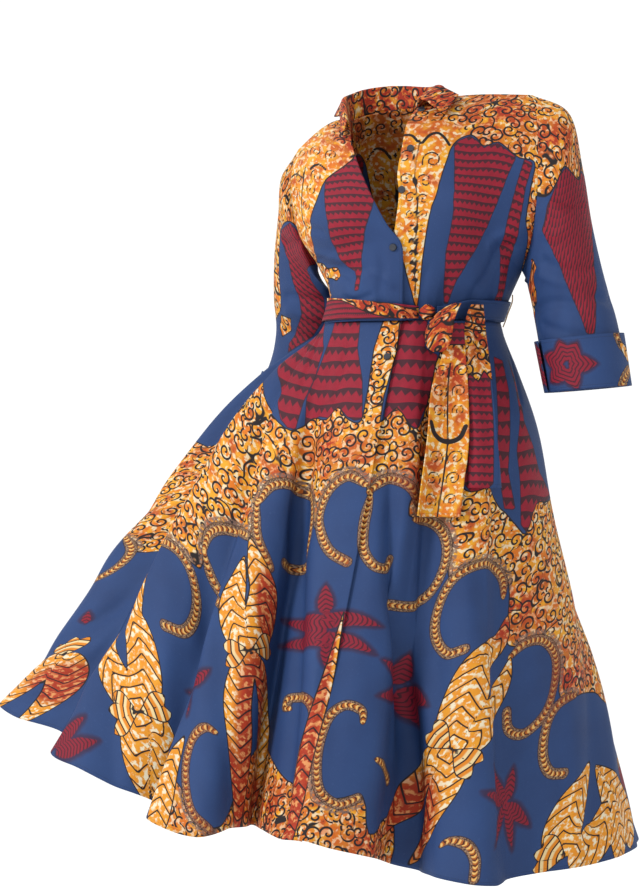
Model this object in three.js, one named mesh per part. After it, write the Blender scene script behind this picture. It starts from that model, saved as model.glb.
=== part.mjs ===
// Wax print shirt dress, worn pose without the wearer: open collar, button front, waist seam,
// tie sash, three-quarter sleeves with turned-back cuffs and a flared skirt held out at one side.
// Millimetres, +Z up, the front faces -Y and the wearer's left is at +X.
// The origin lies between the shoulders, at the height where the dress rests on them.
import * as THREE from 'three';

const WALL = 2; // thickness of every cloth wall
const SEAM = 0.5; // gap left between two pieces that are sewn together
const LAP = 4.4; // how far the under front lies inside the upper front at the closing
const WAIST_Z = -280; // height of the waist seam
const WAIST = { x: 18, y: 0, side: 128, front: 100, back: 100 }; // waist section, half sizes
const UNDERARM = 0.45; // share of the bodice height at which the armholes start
const SHOULDER_YAW = 24; // degrees that the shoulders turn towards the wearer's right
const SHOULDER_RISE = { right: 13, left: 5 }; // how far the shoulder seams arch up
const BUST = { out: 15, reach: 46 }; // fullness over the bust darts
const BUTTON = { radius: 5.5, depth: 2.6 };

const DEG = Math.PI / 180;
const dress = new THREE.Group();

const BLUE = { color: 0x27426f, roughness: 0.8, metalness: 0 };
const RED = { color: 0x8e1a2c, roughness: 0.8, metalness: 0 };
const ORANGE = { color: 0xeb9a26, roughness: 0.8, metalness: 0 };
const DARK = { color: 0x17161c, roughness: 0.35, metalness: 0 };
const THREAD = { color: 0xc9a46a, roughness: 0.9, metalness: 0 };

// ---------------------------------------------------------------- helpers

const vec = (x, y, z) => new THREE.Vector3(x, y, z);
const mix = (a, b, t) => a + (b - a) * t;
const clamp = (t) => Math.min(1, Math.max(0, t));
const smooth = (t) => clamp(t) * clamp(t) * (3 - 2 * clamp(t));
const bell = (t) => Math.exp(-t * t);

// A smooth curve through hand-placed points, read at t from 0 to 1.
function through(points) {
  const curve = new THREE.CatmullRomCurve3(points.map((p) => vec(...p)), false, 'centripetal');
  return (t) => curve.getPoint(clamp(t));
}

// Outward unit normal of the surface at(u, v), from its two tangents.
function normalOf(at, u, v) {
  const step = 1e-3;
  const [u0, u1] = [Math.max(0, u - step), Math.min(1, u + step)];
  const [v0, v1] = [Math.max(0, v - step), Math.min(1, v + step)];
  const along = at(u1, v).sub(at(u0, v));
  const up = at(u, v1).sub(at(u, v0));
  return along.cross(up).normalize();
}

const even = (t) => t;

// One cloth piece: the surface at(u, v) for u and v from 0 to 1, WALL thick towards its inside.
// trim names the sewn edges, which stop half a seam gap short, or a multiple of it. mate gives,
// for a sewn edge, the normal of the neighbour there, so that the two end faces meet in one mitre
// plane. colShare and rowShare space the columns and rows, so that sewn edges share their corners.
function clothGeometry({
  at, cols, rows, wall = WALL, round = false, trim = {}, mate = {}, colShare = even, rowShare = even,
}) {
  const outer = [];
  const inner = [];
  const span = (lo, hi, share) => lo + (hi - lo) * share;
  for (let j = 0; j <= rows; j++) {
    for (let i = 0; i <= cols; i++) {
      const inset = {};
      const [ui, vj] = [colShare(i / cols), rowShare(j / rows)];
      const wide = at(Math.min(1, ui + 1e-3), vj).distanceTo(at(Math.max(0, ui - 1e-3), vj)) / 2e-3;
      const tall = at(ui, Math.min(1, vj + 1e-3)).distanceTo(at(ui, Math.max(0, vj - 1e-3))) / 2e-3;
      inset.u = SEAM / 2 / Math.max(wide, 1);
      inset.v = SEAM / 2 / Math.max(tall, 1);
      const u = span(inset.u * (trim.u0 ?? 0), 1 - inset.u * (trim.u1 ?? 0), ui);
      const v = span(inset.v * (trim.v0 ?? 0), 1 - inset.v * (trim.v1 ?? 0), vj);
      const point = at(u, v);
      let normal = normalOf(at, round ? ui : u, v);
      let reach = wall;
      const sides = [];
      if (i === 0 && mate.u0) sides.push(mate.u0(vj));
      if (i === cols && mate.u1) sides.push(mate.u1(vj));
      if (j === 0 && mate.v0) sides.push(mate.v0(ui));
      if (j === rows && mate.v1) sides.push(mate.v1(ui));
      for (const other of sides.filter(Boolean)) {
        const turn = normal.dot(other);
        if (turn > -0.6) {
          normal = normal.clone().add(other).normalize();
          reach = wall / Math.sqrt((1 + turn) / 2);
        }
      }
      outer.push(point);
      inner.push(point.clone().addScaledVector(normal, -reach));
    }
  }
  if (round) { // the last column is the first one again
    for (let j = 0; j <= rows; j++) {
      const [first, last] = [j * (cols + 1), j * (cols + 1) + cols];
      outer[last] = outer[first];
      inner[last] = inner[first];
    }
  }
  const positions = [...outer, ...inner].flatMap((p) => p.toArray());
  const layer = (rows + 1) * (cols + 1);
  const id = (i, j, under = 0) => under * layer + j * (cols + 1) + (round ? i % cols : i);
  const faces = [];
  const quad = (a, b, c, d) => faces.push(a, b, c, a, c, d);
  for (let j = 0; j < rows; j++) {
    for (let i = 0; i < cols; i++) {
      quad(id(i, j), id(i + 1, j), id(i + 1, j + 1), id(i, j + 1));
      quad(id(i, j, 1), id(i, j + 1, 1), id(i + 1, j + 1, 1), id(i + 1, j, 1));
    }
  }
  for (let i = 0; i < cols; i++) {
    quad(id(i, 0), id(i, 0, 1), id(i + 1, 0, 1), id(i + 1, 0));
    quad(id(i, rows), id(i + 1, rows), id(i + 1, rows, 1), id(i, rows, 1));
  }
  for (let j = 0; j < rows && !round; j++) {
    quad(id(0, j), id(0, j + 1), id(0, j + 1, 1), id(0, j, 1));
    quad(id(cols, j), id(cols, j, 1), id(cols, j + 1, 1), id(cols, j + 1));
  }
  const geometry = new THREE.BufferGeometry();
  geometry.setAttribute('position', new THREE.Float32BufferAttribute(positions, 3));
  geometry.setIndex(faces);
  return geometry;
}

function add(name, geometry, finish) {
  const mesh = new THREE.Mesh(geometry, new THREE.MeshStandardMaterial(finish));
  mesh.name = name;
  dress.add(mesh);
  return mesh;
}

// ---------------------------------------------------------------- bodice

// Each edge runs from the waist seam up to the shoulder seam.
const NECK_RIGHT = [-72, -5, 14];
const NECK_LEFT = [44, -30, 40];
const NECK_BACK = [-15, 58, 36];
const TIP_RIGHT = [-148, 61, -21];
const TIP_LEFT = [188, -45, 46];
const ARMPIT_RIGHT = [-119, 28, -192];
const ARMPIT_LEFT = [174, -40, -206];

const frontEdgeRight = through([
  [1, -101, WAIST_Z], [1, -113, -235], [1, -122, -196], [-2, -124, -172],
  [-22, -122, -145], [-51, -112, -87], [-70, -75, -29], NECK_RIGHT,
]);
const frontEdgeLeft = through([
  [-24, -99, WAIST_Z], [-22, -113, -225], [-12, -124, -160], [-5, -126, -101],
  [-7, -122, -76], [1, -105, -29], [8, -86, 2], [24, -56, 26], NECK_LEFT,
]);
const centreBack = through([
  [18, 100, WAIST_Z], [14, 112, -220], [6, 126, -150], [-2, 122, -80], [-10, 98, -10], NECK_BACK,
]);
const sideRight = through([[-110, 0, WAIST_Z], [-101, 8, -240], ARMPIT_RIGHT]);
const sideLeft = through([[146, 0, WAIST_Z], [158, -16, -245], ARMPIT_LEFT]);
const armholes = {
  right: {
    front: through([ARMPIT_RIGHT, [-144, 6, -155], [-156, 14, -110], [-158, 38, -58], TIP_RIGHT]),
    back: through([ARMPIT_RIGHT, [-118, 78, -165], [-124, 108, -115], [-138, 98, -58], TIP_RIGHT]),
  },
  left: {
    front: through([ARMPIT_LEFT, [184, -86, -165], [191, -106, -95], [192, -85, 6], TIP_LEFT]),
    back: through([ARMPIT_LEFT, [182, 0, -165], [188, 18, -95], [190, -3, 6], TIP_LEFT]),
  },
};

// The outer edge of a front or back at height v: side seam below the armpit, armhole above it.
function outerEdge(side, face, v) {
  const seam = side === 'right' ? sideRight : sideLeft;
  if (v <= UNDERARM) return seam(v / UNDERARM);
  return armholes[side][face]((v - UNDERARM) / (1 - UNDERARM));
}

function shoulderSeam(side, share) {
  const neck = vec(...(side === 'right' ? NECK_RIGHT : NECK_LEFT));
  const tip = vec(...(side === 'right' ? TIP_RIGHT : TIP_LEFT));
  const rise = SHOULDER_RISE[side] * Math.sin(Math.PI * share ** 0.8);
  return neck.lerp(tip, share).add(vec(0, 0, rise));
}

// One level of cloth from the middle of the body to its outer edge: a quarter of an oval low
// down, a flatter arc across the chest and shoulder blades.
function levelArc(middle, edge, v, share) {
  const yaw = SHOULDER_YAW * v * DEG;
  const across = vec(Math.cos(yaw), -Math.sin(yaw), 0);
  const forward = vec(-Math.sin(yaw), -Math.cos(yaw), 0);
  const most = mix(90, 52, smooth((v - UNDERARM * 0.8) / (1 - UNDERARM * 0.8))) * DEG;
  const angle = most * share;
  const gap = edge.clone().sub(middle);
  const point = middle.clone();
  point.addScaledVector(across, gap.dot(across) * Math.sin(angle) / Math.sin(most));
  point.addScaledVector(forward, gap.dot(forward) * (1 - Math.cos(angle)) / (1 - Math.cos(most)));
  point.z += gap.z * smooth(share);
  return point;
}

function bustFullness(point) {
  const rows = [[-82, -132], [78, -122]];
  const amount = rows.map(([x, z]) => bell(Math.hypot(point.x - x, point.z - z) / BUST.reach));
  return BUST.out * (amount[0] + amount[1]);
}

// Two close creases run in from the right armpit, where the arm is drawn back.
function armpitCrease(point) {
  const along = point.x + 80;
  const across = point.z + 203 + 0.18 * along;
  return -4 * bell(along / 42) * bell(across / 7);
}

function frontPoint(side, share, v) {
  const frontEdge = side === 'right' ? frontEdgeRight : frontEdgeLeft;
  const point = levelArc(frontEdge(v), outerEdge(side, 'front', v), v, share);
  const top = levelArc(frontEdge(1), outerEdge(side, 'front', 1), 1, share);
  point.addScaledVector(shoulderSeam(side, share).sub(top), smooth((v - 0.55) / 0.45));
  const free = Math.sin(Math.PI * Math.min(1, share * 1.02)) * clamp(v * 5) * clamp((1 - v) * 5);
  point.y -= free * (bustFullness(point) + armpitCrease(point));
  return point;
}

// The neck curve of the back, from its middle to the shoulder seam, then the seam itself.
const BACK_NECK_SHARE = 0.38;
const backNeck = {
  right: through([NECK_BACK, [-48, 50, 28], [-68, 24, 17], NECK_RIGHT]),
  left: through([NECK_BACK, [18, 42, 38], [38, 6, 40], NECK_LEFT]),
};

function backTop(side, share) {
  if (share < BACK_NECK_SHARE) return backNeck[side](share / BACK_NECK_SHARE);
  return shoulderSeam(side, (share - BACK_NECK_SHARE) / (1 - BACK_NECK_SHARE));
}

function backPoint(side, share, v) {
  const point = levelArc(centreBack(v), outerEdge(side, 'back', v), v, share);
  const top = levelArc(centreBack(1), outerEdge(side, 'back', 1), 1, share);
  return point.addScaledVector(backTop(side, share).sub(top), smooth((v - 0.55) / 0.45));
}

// The panels as surfaces whose u runs so that their normal points out of the dress.
const surfaces = {
  frontRight: (u, v) => frontPoint('right', 1 - u, v),
  frontLeft: (u, v) => {
    const point = frontPoint('left', u, v);
    const under = LAP * (1 - smooth(u / 0.3)) * smooth((0.62 - v) / 0.12);
    point.y += under;
    return point;
  },
  back: (u, v) => (u < 0.5 ? backPoint('left', 1 - 2 * u, v) : backPoint('right', 2 * u - 1, v)),
};
// ---------------------------------------------------------------- sleeves and cuffs

// Each sleeve starts on its armhole and passes through sections given by their point nearest
// the body, their point furthest out, half their depth and how far their front leans out.
// The right arm is drawn back and bends behind the skirt; the left one hangs.
const SLEEVES = {
  right: [
    { near: [-118, 36, -203], far: [-167, 73, -54], depth: 47, lean: 17 },
    { near: [-110, 50, -218], far: [-174, 86, -108], depth: 50, lean: 15 },
    { near: [-90, 80, -237], far: [-183, 102, -168], depth: 53, lean: 6 },
    { near: [-73, 100, -256], far: [-185, 122, -235], depth: 57 },
    { near: [-72, 124, -300], far: [-182, 148, -286], depth: 58 },
    { near: [-90, 160, -382], far: [-193, 160, -336], depth: 59 },
    { near: [-130, 186, -458], far: [-232, 184, -404], depth: 60 },
  ],
  left: [
    { near: [178, -42, -214], far: [238, -50, 22], depth: 65 },
    { near: [181, -44, -223], far: [260, -52, -60], depth: 65 },
    { near: [184, -46, -237], far: [273, -54, -140], depth: 63 },
    { near: [188, -48, -257], far: [290, -56, -215], depth: 61 },
    { near: [194, -54, -292], far: [308, -62, -280], depth: 60 },
    { near: [208, -66, -381], far: [324, -76, -372], depth: 60 },
  ],
};
const CUFF = { start: { right: 0.88, left: 0.867 }, wall: 3, clear: 0.9, flare: 2.5, slit: 0.012 };

// The armhole as a loop from the armpit over the shoulder tip and back.
function armholeLoop(side, turn) {
  const [rising, falling] = side === 'right' ? ['front', 'back'] : ['back', 'front'];
  if (turn <= 0.5) return armholes[side][rising](turn * 2);
  return armholes[side][falling](2 - turn * 2);
}

function sleeveSection({ near, far, depth, lean = 0 }, side, turn) {
  const [a, b] = [vec(...near), vec(...far)];
  const across = a.clone().sub(b).multiplyScalar(0.5);
  const forward = vec(0, side === 'right' ? -1 : 1, 0);
  const angle = 2 * Math.PI * turn;
  return a.add(b).multiplyScalar(0.5)
    .addScaledVector(across, Math.cos(angle))
    .addScaledVector(forward, depth * Math.sin(angle))
    .add(vec(-lean * Math.max(0, Math.sin(angle)), 0, 0));
}

const sleeveLines = new Map();
function sleevePoint(side, turn, share) {
  const key = `${side} ${turn.toFixed(6)}`;
  if (!sleeveLines.has(key)) {
    const stations = SLEEVES[side].map((section) => sleeveSection(section, side, turn));
    sleeveLines.set(key, through([armholeLoop(side, turn), ...stations].map((p) => p.toArray())));
  }
  return sleeveLines.get(key)(share);
}

const wrap = (turn) => turn - Math.floor(turn);
const sleeveSurface = (side) => (u, v) => sleevePoint(side, wrap(u), v);

// The bodice's outward normal along the armhole, for the mitre at the sleeve seam.
function bodiceNormal(side, turn) {
  const rising = turn <= 0.5;
  const height = mix(UNDERARM, 1, rising ? turn * 2 : 2 - turn * 2);
  const onFront = (side === 'right') === rising;
  const rightPanel = onFront ? surfaces.frontRight : surfaces.back;
  if (side === 'right') return normalOf(rightPanel, onFront ? 0 : 1, height);
  return normalOf(onFront ? surfaces.frontLeft : surfaces.back, onFront ? 1 : 0, height);
}

// What a bodice panel meets along its outer edge: the other panel below the armpit, then the
// sleeve. rising says whether the panel is the one along which the armhole loop rises.
const beside = (side, rising, panel, panelEdge) => (v) => {
  if (v <= UNDERARM) return normalOf(panel, panelEdge, v);
  const up = (v - UNDERARM) / (1 - UNDERARM) / 2;
  return normalOf(sleeveSurface(side), rising ? up : 1 - up, 0);
};
const backShareAt = (share) => mix(BACK_NECK_SHARE, 1, share);

// The normal of the front along the shoulder seam, read along the top of the back.
function frontAtShoulder(u) {
  const share = (Math.abs(1 - 2 * u) - BACK_NECK_SHARE) / (1 - BACK_NECK_SHARE);
  if (share < 0) return null;
  return u < 0.5 ? normalOf(surfaces.frontLeft, share, 1) : normalOf(surfaces.frontRight, 1 - share, 1);
}

// Rows of the bodice: 5 below the armpit, then 10 that meet the 20 columns of a sleeve. Columns
// of the back, on each side: 4 under the neck, then 6 that meet those of a front.
const ROWS = { low: 5, armhole: 10 };
const COLS = { neck: 4, shoulder: 6 };
const bodiceRows = ROWS.low + ROWS.armhole;
const halfBackCols = COLS.neck + COLS.shoulder;
const bodiceRow = (t) => {
  const row = t * bodiceRows;
  if (row <= ROWS.low) return UNDERARM * row / ROWS.low;
  return mix(UNDERARM, 1, (row - ROWS.low) / ROWS.armhole);
};
const backCol = (t) => {
  const col = Math.abs(1 - 2 * t) * halfBackCols;
  const share = col <= COLS.neck
    ? BACK_NECK_SHARE * col / COLS.neck
    : backShareAt((col - COLS.neck) / COLS.shoulder);
  return t < 0.5 ? (1 - share) / 2 : (1 + share) / 2;
};

add('bodice_front_right', clothGeometry({
  at: surfaces.frontRight,
  cols: COLS.shoulder,
  rows: bodiceRows,
  rowShare: bodiceRow,
  trim: { u0: 1, v0: 1, v1: 3 },
  mate: {
    u0: beside('right', true, surfaces.back, 1),
    v1: (u) => normalOf(surfaces.back, 0.5 + backShareAt(1 - u) / 2, 1),
  },
}), BLUE);
add('bodice_front_left', clothGeometry({
  at: surfaces.frontLeft,
  cols: COLS.shoulder,
  rows: bodiceRows,
  rowShare: bodiceRow,
  trim: { u1: 1, v0: 1, v1: 1 },
  mate: {
    u1: beside('left', false, surfaces.back, 0),
    v1: (u) => normalOf(surfaces.back, 0.5 - backShareAt(u) / 2, 1),
  },
}), BLUE);
add('bodice_back', clothGeometry({
  at: surfaces.back,
  cols: 2 * halfBackCols,
  rows: bodiceRows,
  colShare: backCol,
  rowShare: bodiceRow,
  trim: { u0: 1, u1: 1, v0: 1, v1: 1 },
  mate: {
    u0: beside('left', true, surfaces.frontLeft, 1),
    u1: beside('right', false, surfaces.frontRight, 0),
    v1: frontAtShoulder,
  },
}), BLUE);

for (const side of ['right', 'left']) {
  const at = sleeveSurface(side);
  add(`sleeve_${side}`, clothGeometry({
    at,
    cols: 2 * ROWS.armhole,
    rows: 9,
    round: true,
    trim: { v0: 2 },
    mate: { v0: (u) => bodiceNormal(side, wrap(u)) },
  }), BLUE);

  // The turned-back cuff stands just off the sleeve and is slit on its inner side.
  const slitAt = side === 'left' ? -0.06 : 0.06;
  const cuffAt = (u, v) => {
    const turn = slitAt + mix(CUFF.slit, 1 - CUFF.slit, u);
    const share = mix(CUFF.start[side], 1, v);
    const out = CUFF.wall + CUFF.clear + CUFF.flare * (1 - v);
    const inSleeve = wrap(turn);
    const normal = normalOf(at, Math.min(0.999, Math.max(0.001, inSleeve)), share);
    return at(turn, share).addScaledVector(normal, out);
  };
  add(`cuff_${side}`, clothGeometry({ at: cuffAt, cols: 20, rows: 2, wall: CUFF.wall }), BLUE);
}

// ---------------------------------------------------------------- skirt

// The hem round the dress: where each line of cloth starts at the waist, as an angle from the
// front, and where it ends, with the ridges and valleys of the folds. The wearer's right side is
// lifted and pulled out. It starts at the right side seam and runs over the front.
const HEM = [
  [-106, -478, -105, -862], [-102, -490, -150, -886], [-98, -452, -182, -902],
  [-93, -396, -205, -925], [-88, -340, -200, -950], [-84, -350, -243, -966],
  [-77, -285, -275, -985], [-69, -240, -245, -980], [-59, -212, -180, -982],
  [-46, -196, -225, -982], [-30, -172, -282, -986], [-8, -140, -300, -988],
  [0, -100, -306, -997], [6, -50, -290, -1010], [10, -34, -235, -1022],
  [17, -12, -205, -1034], [26, 34, -240, -1042], [36, 84, -285, -1048],
  [44, 128, -278, -1050], [50, 141, -238, -1048], [58, 186, -215, -1043],
  [68, 252, -190, -1037], [79, 306, -130, -1032], [90, 342, -55, -1026],
  [100, 338, 25, -1022], [108, 300, 70, -1020], [117, 308, 130, -1022],
  [126, 248, 152, -1024], [135, 232, 212, -1026], [144, 170, 205, -1026],
  [153, 130, 262, -1026], [162, 76, 232, -1025], [171, 34, 276, -1024],
  [180, -14, 242, -1020], [189, -66, 276, -1014], [198, -112, 236, -1004],
  [207, -172, 252, -990], [215, -212, 196, -973], [223, -282, 200, -950],
  [231, -318, 140, -925], [238, -396, 132, -897], [243, -430, 76, -872],
  [248, -520, 48, -846], [252, -572, -18, -832], [253, -548, -70, -843],
];
const LINE = { rightSeam: 0, edge: 11, underEdge: 10.3, leftSeam: 24, backSeam: 33, end: HEM.length };
const HIP = { out: 13, at: 0.2, reach: 0.13 };
const PULL = { out: 42, at: 0.36, reach: 0.36, angle: -108, spread: 26 };

// Catmull-Rom reading of the hem list at a whole or broken line number.
function hemLine(line) {
  const count = HEM.length;
  const start = Math.floor(line);
  const t = line - start;
  const row = (k) => {
    const index = start + k;
    const turns = Math.floor(index / count);
    const [angle, ...place] = HEM[index - turns * count];
    return [angle + 360 * turns, ...place];
  };
  const [a, b, c, d] = [row(-1), row(0), row(1), row(2)];
  return b.map((_, k) => 0.5 * (2 * b[k] + (c[k] - a[k]) * t
    + (2 * a[k] - 5 * b[k] + 4 * c[k] - d[k]) * t * t
    + (3 * b[k] - a[k] - 3 * c[k] + d[k]) * t * t * t));
}

// A point of the skirt on one line, drop 0 at the waist seam and 1 at the hem.
function skirtPoint(line, drop) {
  const [angle, x, y, z] = hemLine(line);
  const [s, c] = [Math.sin(angle * DEG), Math.cos(angle * DEG)];
  const start = vec(WAIST.x + WAIST.side * s, WAIST.y - (c > 0 ? WAIST.front : WAIST.back) * c, WAIST_Z);
  const point = start.lerp(vec(x, y, z), drop);
  const hip = HIP.out * bell((drop - HIP.at) / HIP.reach) * smooth(drop * 12);
  point.add(vec(s * hip, -c * hip, 0));
  const away = ((angle - PULL.angle + 540) % 360) - 180;
  point.x -= PULL.out * bell((drop - PULL.at) / PULL.reach) * bell(away / PULL.spread) * smooth(drop * 9);
  return point;
}

const skirtBetween = (from, to) => (u, v) => skirtPoint(mix(from, to, u), 1 - v);
const skirtPanels = {
  skirt_front_right: [LINE.rightSeam, LINE.edge, 24, { u0: 1, v1: 1 }],
  skirt_back_left: [LINE.leftSeam, LINE.backSeam, 16, { u0: 1, u1: 1, v1: 1 }],
  skirt_back_right: [LINE.backSeam, LINE.end, 21, { u0: 1, u1: 1, v1: 1 }],
};
for (const [name, [from, to, cols, trim]] of Object.entries(skirtPanels)) {
  add(name, clothGeometry({ at: skirtBetween(from, to), cols, rows: 7, trim }), BLUE);
}
// The left front passes under the edge of the right one.
const skirtFrontLeft = (u, v) => {
  const line = mix(LINE.underEdge, LINE.leftSeam, u);
  const point = skirtPoint(line, 1 - v);
  point.y += LAP * (1 - smooth((line - LINE.edge - 0.1) / 1.2));
  return point;
};
add('skirt_front_left', clothGeometry({
  at: skirtFrontLeft, cols: 29, rows: 7, trim: { u1: 1, v1: 1 },
}), BLUE);

// ---------------------------------------------------------------- collar

// The collar follows the neckline from one front round the back to the other. At each station:
// its place along the neckline, how the stand rises, which way the fold turns over, and how far
// the fall reaches out and down from the fold.
const COLLAR = [
  { rise: [-3, -10, 12], out: [-4, -7, -3], fall: [-6, -8, -20] },
  { rise: [-6, -2, 32], out: [-5, 1, 0], fall: [-5, 5, -24] },
  { rise: [-4, 0, 36], out: [-7, 7, 0], fall: [-16, 20, -28] },
  { rise: [0, -4, 36], out: [0, 9, 0], fall: [0, 22, -32] },
  { rise: [3, -4, 32], out: [7, 7, 0], fall: [16, 18, -26] },
  { rise: [6, -6, 22], out: [8, -2, 0], fall: [24, -8, -13] },
  { rise: [4, -12, 18], out: [9, -8, 0], fall: [25, -16, -15] },
  { rise: [-1, -12, 10], out: [12, -12, -3], fall: [26, -10, -20] },
];
const COLLAR_START = { right: 0.93, left: 0.875 }; // how high up the front edges it starts
const STAND_SHARE = 0.42; // share of the collar's depth that is stand
const COLLAR_WALL = 1.6;
const COLLAR_CLEAR = 1.1;

const collarCurves = {
  rise: through(COLLAR.map((s) => s.rise)),
  out: through(COLLAR.map((s) => s.out)),
  fall: through(COLLAR.map((s) => s.fall)),
};

// The neckline from the wearer's right front round the back neck to the left front.
function neckline(along) {
  if (along < 1 / 7) return frontEdgeRight(mix(COLLAR_START.right, 1, along * 7));
  if (along > 6 / 7) return frontEdgeLeft(mix(1, COLLAR_START.left, along * 7 - 6));
  const round = (along - 1 / 7) * 7 / 5;
  return round < 0.5 ? backNeck.right(1 - 2 * round) : backNeck.left(2 * round - 1);
}

// along runs from the wearer's right end to the left one, deep from the neck seam over the fold
// to the outer edge of the fall.
function collarPoint(along, deep) {
  const [rise, out, fall] = ['rise', 'out', 'fall'].map((k) => collarCurves[k](along));
  const foot = neckline(along).addScaledVector(rise.clone().normalize(), COLLAR_CLEAR);
  if (deep < STAND_SHARE) return foot.addScaledVector(rise, deep / STAND_SHARE);
  const past = (deep - STAND_SHARE) / (1 - STAND_SHARE);
  const turn = Math.min(1, past * 3.4);
  const roll = foot.add(rise).addScaledVector(out, 0.5 - 0.5 * Math.cos(Math.PI * turn));
  roll.z += 3 * Math.sin(Math.PI * turn);
  return roll.addScaledVector(fall, past * past * 0.35 + past * 0.65);
}
const COLLAR_COLS = { front: 4, back: 2 * COLS.neck };
const collarCol = (t) => {
  const half = COLLAR_COLS.front + COLLAR_COLS.back / 2;
  const col = Math.abs(1 - 2 * t) * half - COLLAR_COLS.back / 2;
  const off = col < 0 ? 2.5 * (1 + 2 * col / COLLAR_COLS.back) : 2.5 + col / COLLAR_COLS.front;
  return 0.5 + Math.sign(t - 0.5) * off / 7;
};
add('collar', clothGeometry({
  at: (u, v) => collarPoint(1 - u, 1 - v),
  cols: 2 * COLLAR_COLS.front + COLLAR_COLS.back,
  rows: 7,
  wall: COLLAR_WALL,
  colShare: collarCol,
}), ORANGE);

// ---------------------------------------------------------------- sash

const SASH = { wall: 2.4, clear: 1.9, low: -277, side: { right: -243, left: -250 }, knot: -260 };
const KNOT = { at: [36, -114, -269], size: [12, 9, 11.5] };

// Solves f(t) = goal for a rising f between low and high.
function solve(f, goal, low, high) {
  for (let k = 0; k < 24; k++) {
    const middle = (low + high) / 2;
    if (f(middle) < goal) low = middle;
    else high = middle;
  }
  return (low + high) / 2;
}

// The bodice as it lies at the closing: the right front as far as its edge, the left one beyond.
const edgeX = frontEdgeRight(0).x;
const closing = (u, v) => {
  if (u < 0.5) return frontPoint('right', 1 - 2 * u, v);
  const start = solve((s) => frontPoint('left', s, v).x, edgeX, 0, 1);
  return frontPoint('left', mix(start, 1, 2 * u - 1), v);
};

// A stretch of sash on a bodice surface between two shares of its width, moved out off it.
function sashStretch(surface, from, to, topAt) {
  return (u, v) => {
    const across = mix(from, to, u);
    const z = mix(SASH.low, topAt(u), v);
    const share = solve((s) => surface(across, s).z, z, 0, 0.6);
    const place = Math.min(0.999, Math.max(0.001, across));
    const normal = normalOf(surface, place, share);
    normal.z = 0;
    return surface(across, share).addScaledVector(normal.normalize(), SASH.wall + SASH.clear);
  };
}

const sashCut = (x) => solve((s) => closing(s, 0.05).x, x, 0.3, 1);
const knotEdges = [KNOT.at[0] - KNOT.size[0] - 1, KNOT.at[0] + KNOT.size[0] + 1].map(sashCut);
const sashes = [
  ['sash_right', closing, 0, knotEdges[0], (u) => mix(SASH.side.right, SASH.knot, u ** 1.5), 12, { u0: 1 }],
  ['sash_left', closing, knotEdges[1], 1, (u) => mix(SASH.knot, SASH.side.left, smooth(3 * u)), 9, { u1: 1 }],
  ['sash_back', surfaces.back, 0, 1, (u) => mix(SASH.side.left, SASH.side.right, u),
    2 * halfBackCols, { u0: 1, u1: 1 }],
];
for (const [name, surface, from, to, topAt, cols, trim] of sashes) {
  const at = sashStretch(surface, from, to, topAt);
  const colShare = surface === surfaces.back ? backCol : even;
  add(name, clothGeometry({ at, cols, rows: 2, wall: SASH.wall, trim, colShare }), RED);
}

const knot = add('sash_knot', new THREE.SphereGeometry(1, 14, 9), ORANGE);
knot.position.set(...KNOT.at);
knot.geometry.scale(...KNOT.size);

// Front of the skirt at a height, found along its lines of cloth.
function skirtFrontY(x, z) {
  const height = Math.min(z, WAIST_Z - 1);
  const onLine = (line) => {
    const drop = (WAIST_Z - height) / (WAIST_Z - hemLine(line)[3]);
    return skirtPoint(line, drop);
  };
  let nearest = 0;
  let before = onLine(LINE.underEdge);
  for (let line = LINE.underEdge + 0.2; line < LINE.leftSeam; line += 0.2) {
    const here = onLine(line);
    if ((before.x - x) * (here.x - x) <= 0) {
      const y = mix(before.y, here.y, (x - before.x) / (here.x - before.x || 1));
      nearest = Math.min(nearest, y);
    }
    before = here;
  }
  return nearest;
}

// What hangs from the knot: outline rows of height, left edge and right edge, and how far each
// hangs off the skirt. Over the sash they stand further out.
const TAILS = {
  sash_tail_inner: {
    rows: [[-284, 56, 88], [-319, 58, 89], [-377, 41, 92], [-450, 34, 92], [-508, 26, 85], [-556, 20, 79]],
    off: 11.5,
    cols: 4,
    steps: 9,
  },
  sash_tail_outer: {
    rows: [
      [-257, 99, 116], [-268, 93, 117], [-305, 86, 121], [-360, 86, 127], [-430, 92, 132], [-516, 90, 139],
    ],
    off: 4.5,
    cols: 4,
    steps: 9,
  },
};

function tailSurface({ rows, off }) {
  const left = through(rows.map(([z, a]) => [a, 0, z]));
  const right = through(rows.map(([z, , b]) => [b, 0, z]));
  return (u, v) => {
    const place = left(1 - v).lerp(right(1 - v), u);
    const overSash = 9 * smooth((place.z + 300) / 20);
    const ripple = 2.5 * Math.sin(u * 2 * Math.PI) * smooth((1 - v) * 2);
    const samples = [-14, 0, 14].map((dx) => skirtFrontY(place.x + dx, place.z));
    place.y = Math.min(...samples, samples.reduce((a, b) => a + b) / 3) - off - overSash - ripple;
    return place;
  };
}
for (const [name, tail] of Object.entries(TAILS)) {
  add(name, clothGeometry({ at: tailSurface(tail), cols: tail.cols, rows: tail.steps }), RED);
}

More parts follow.
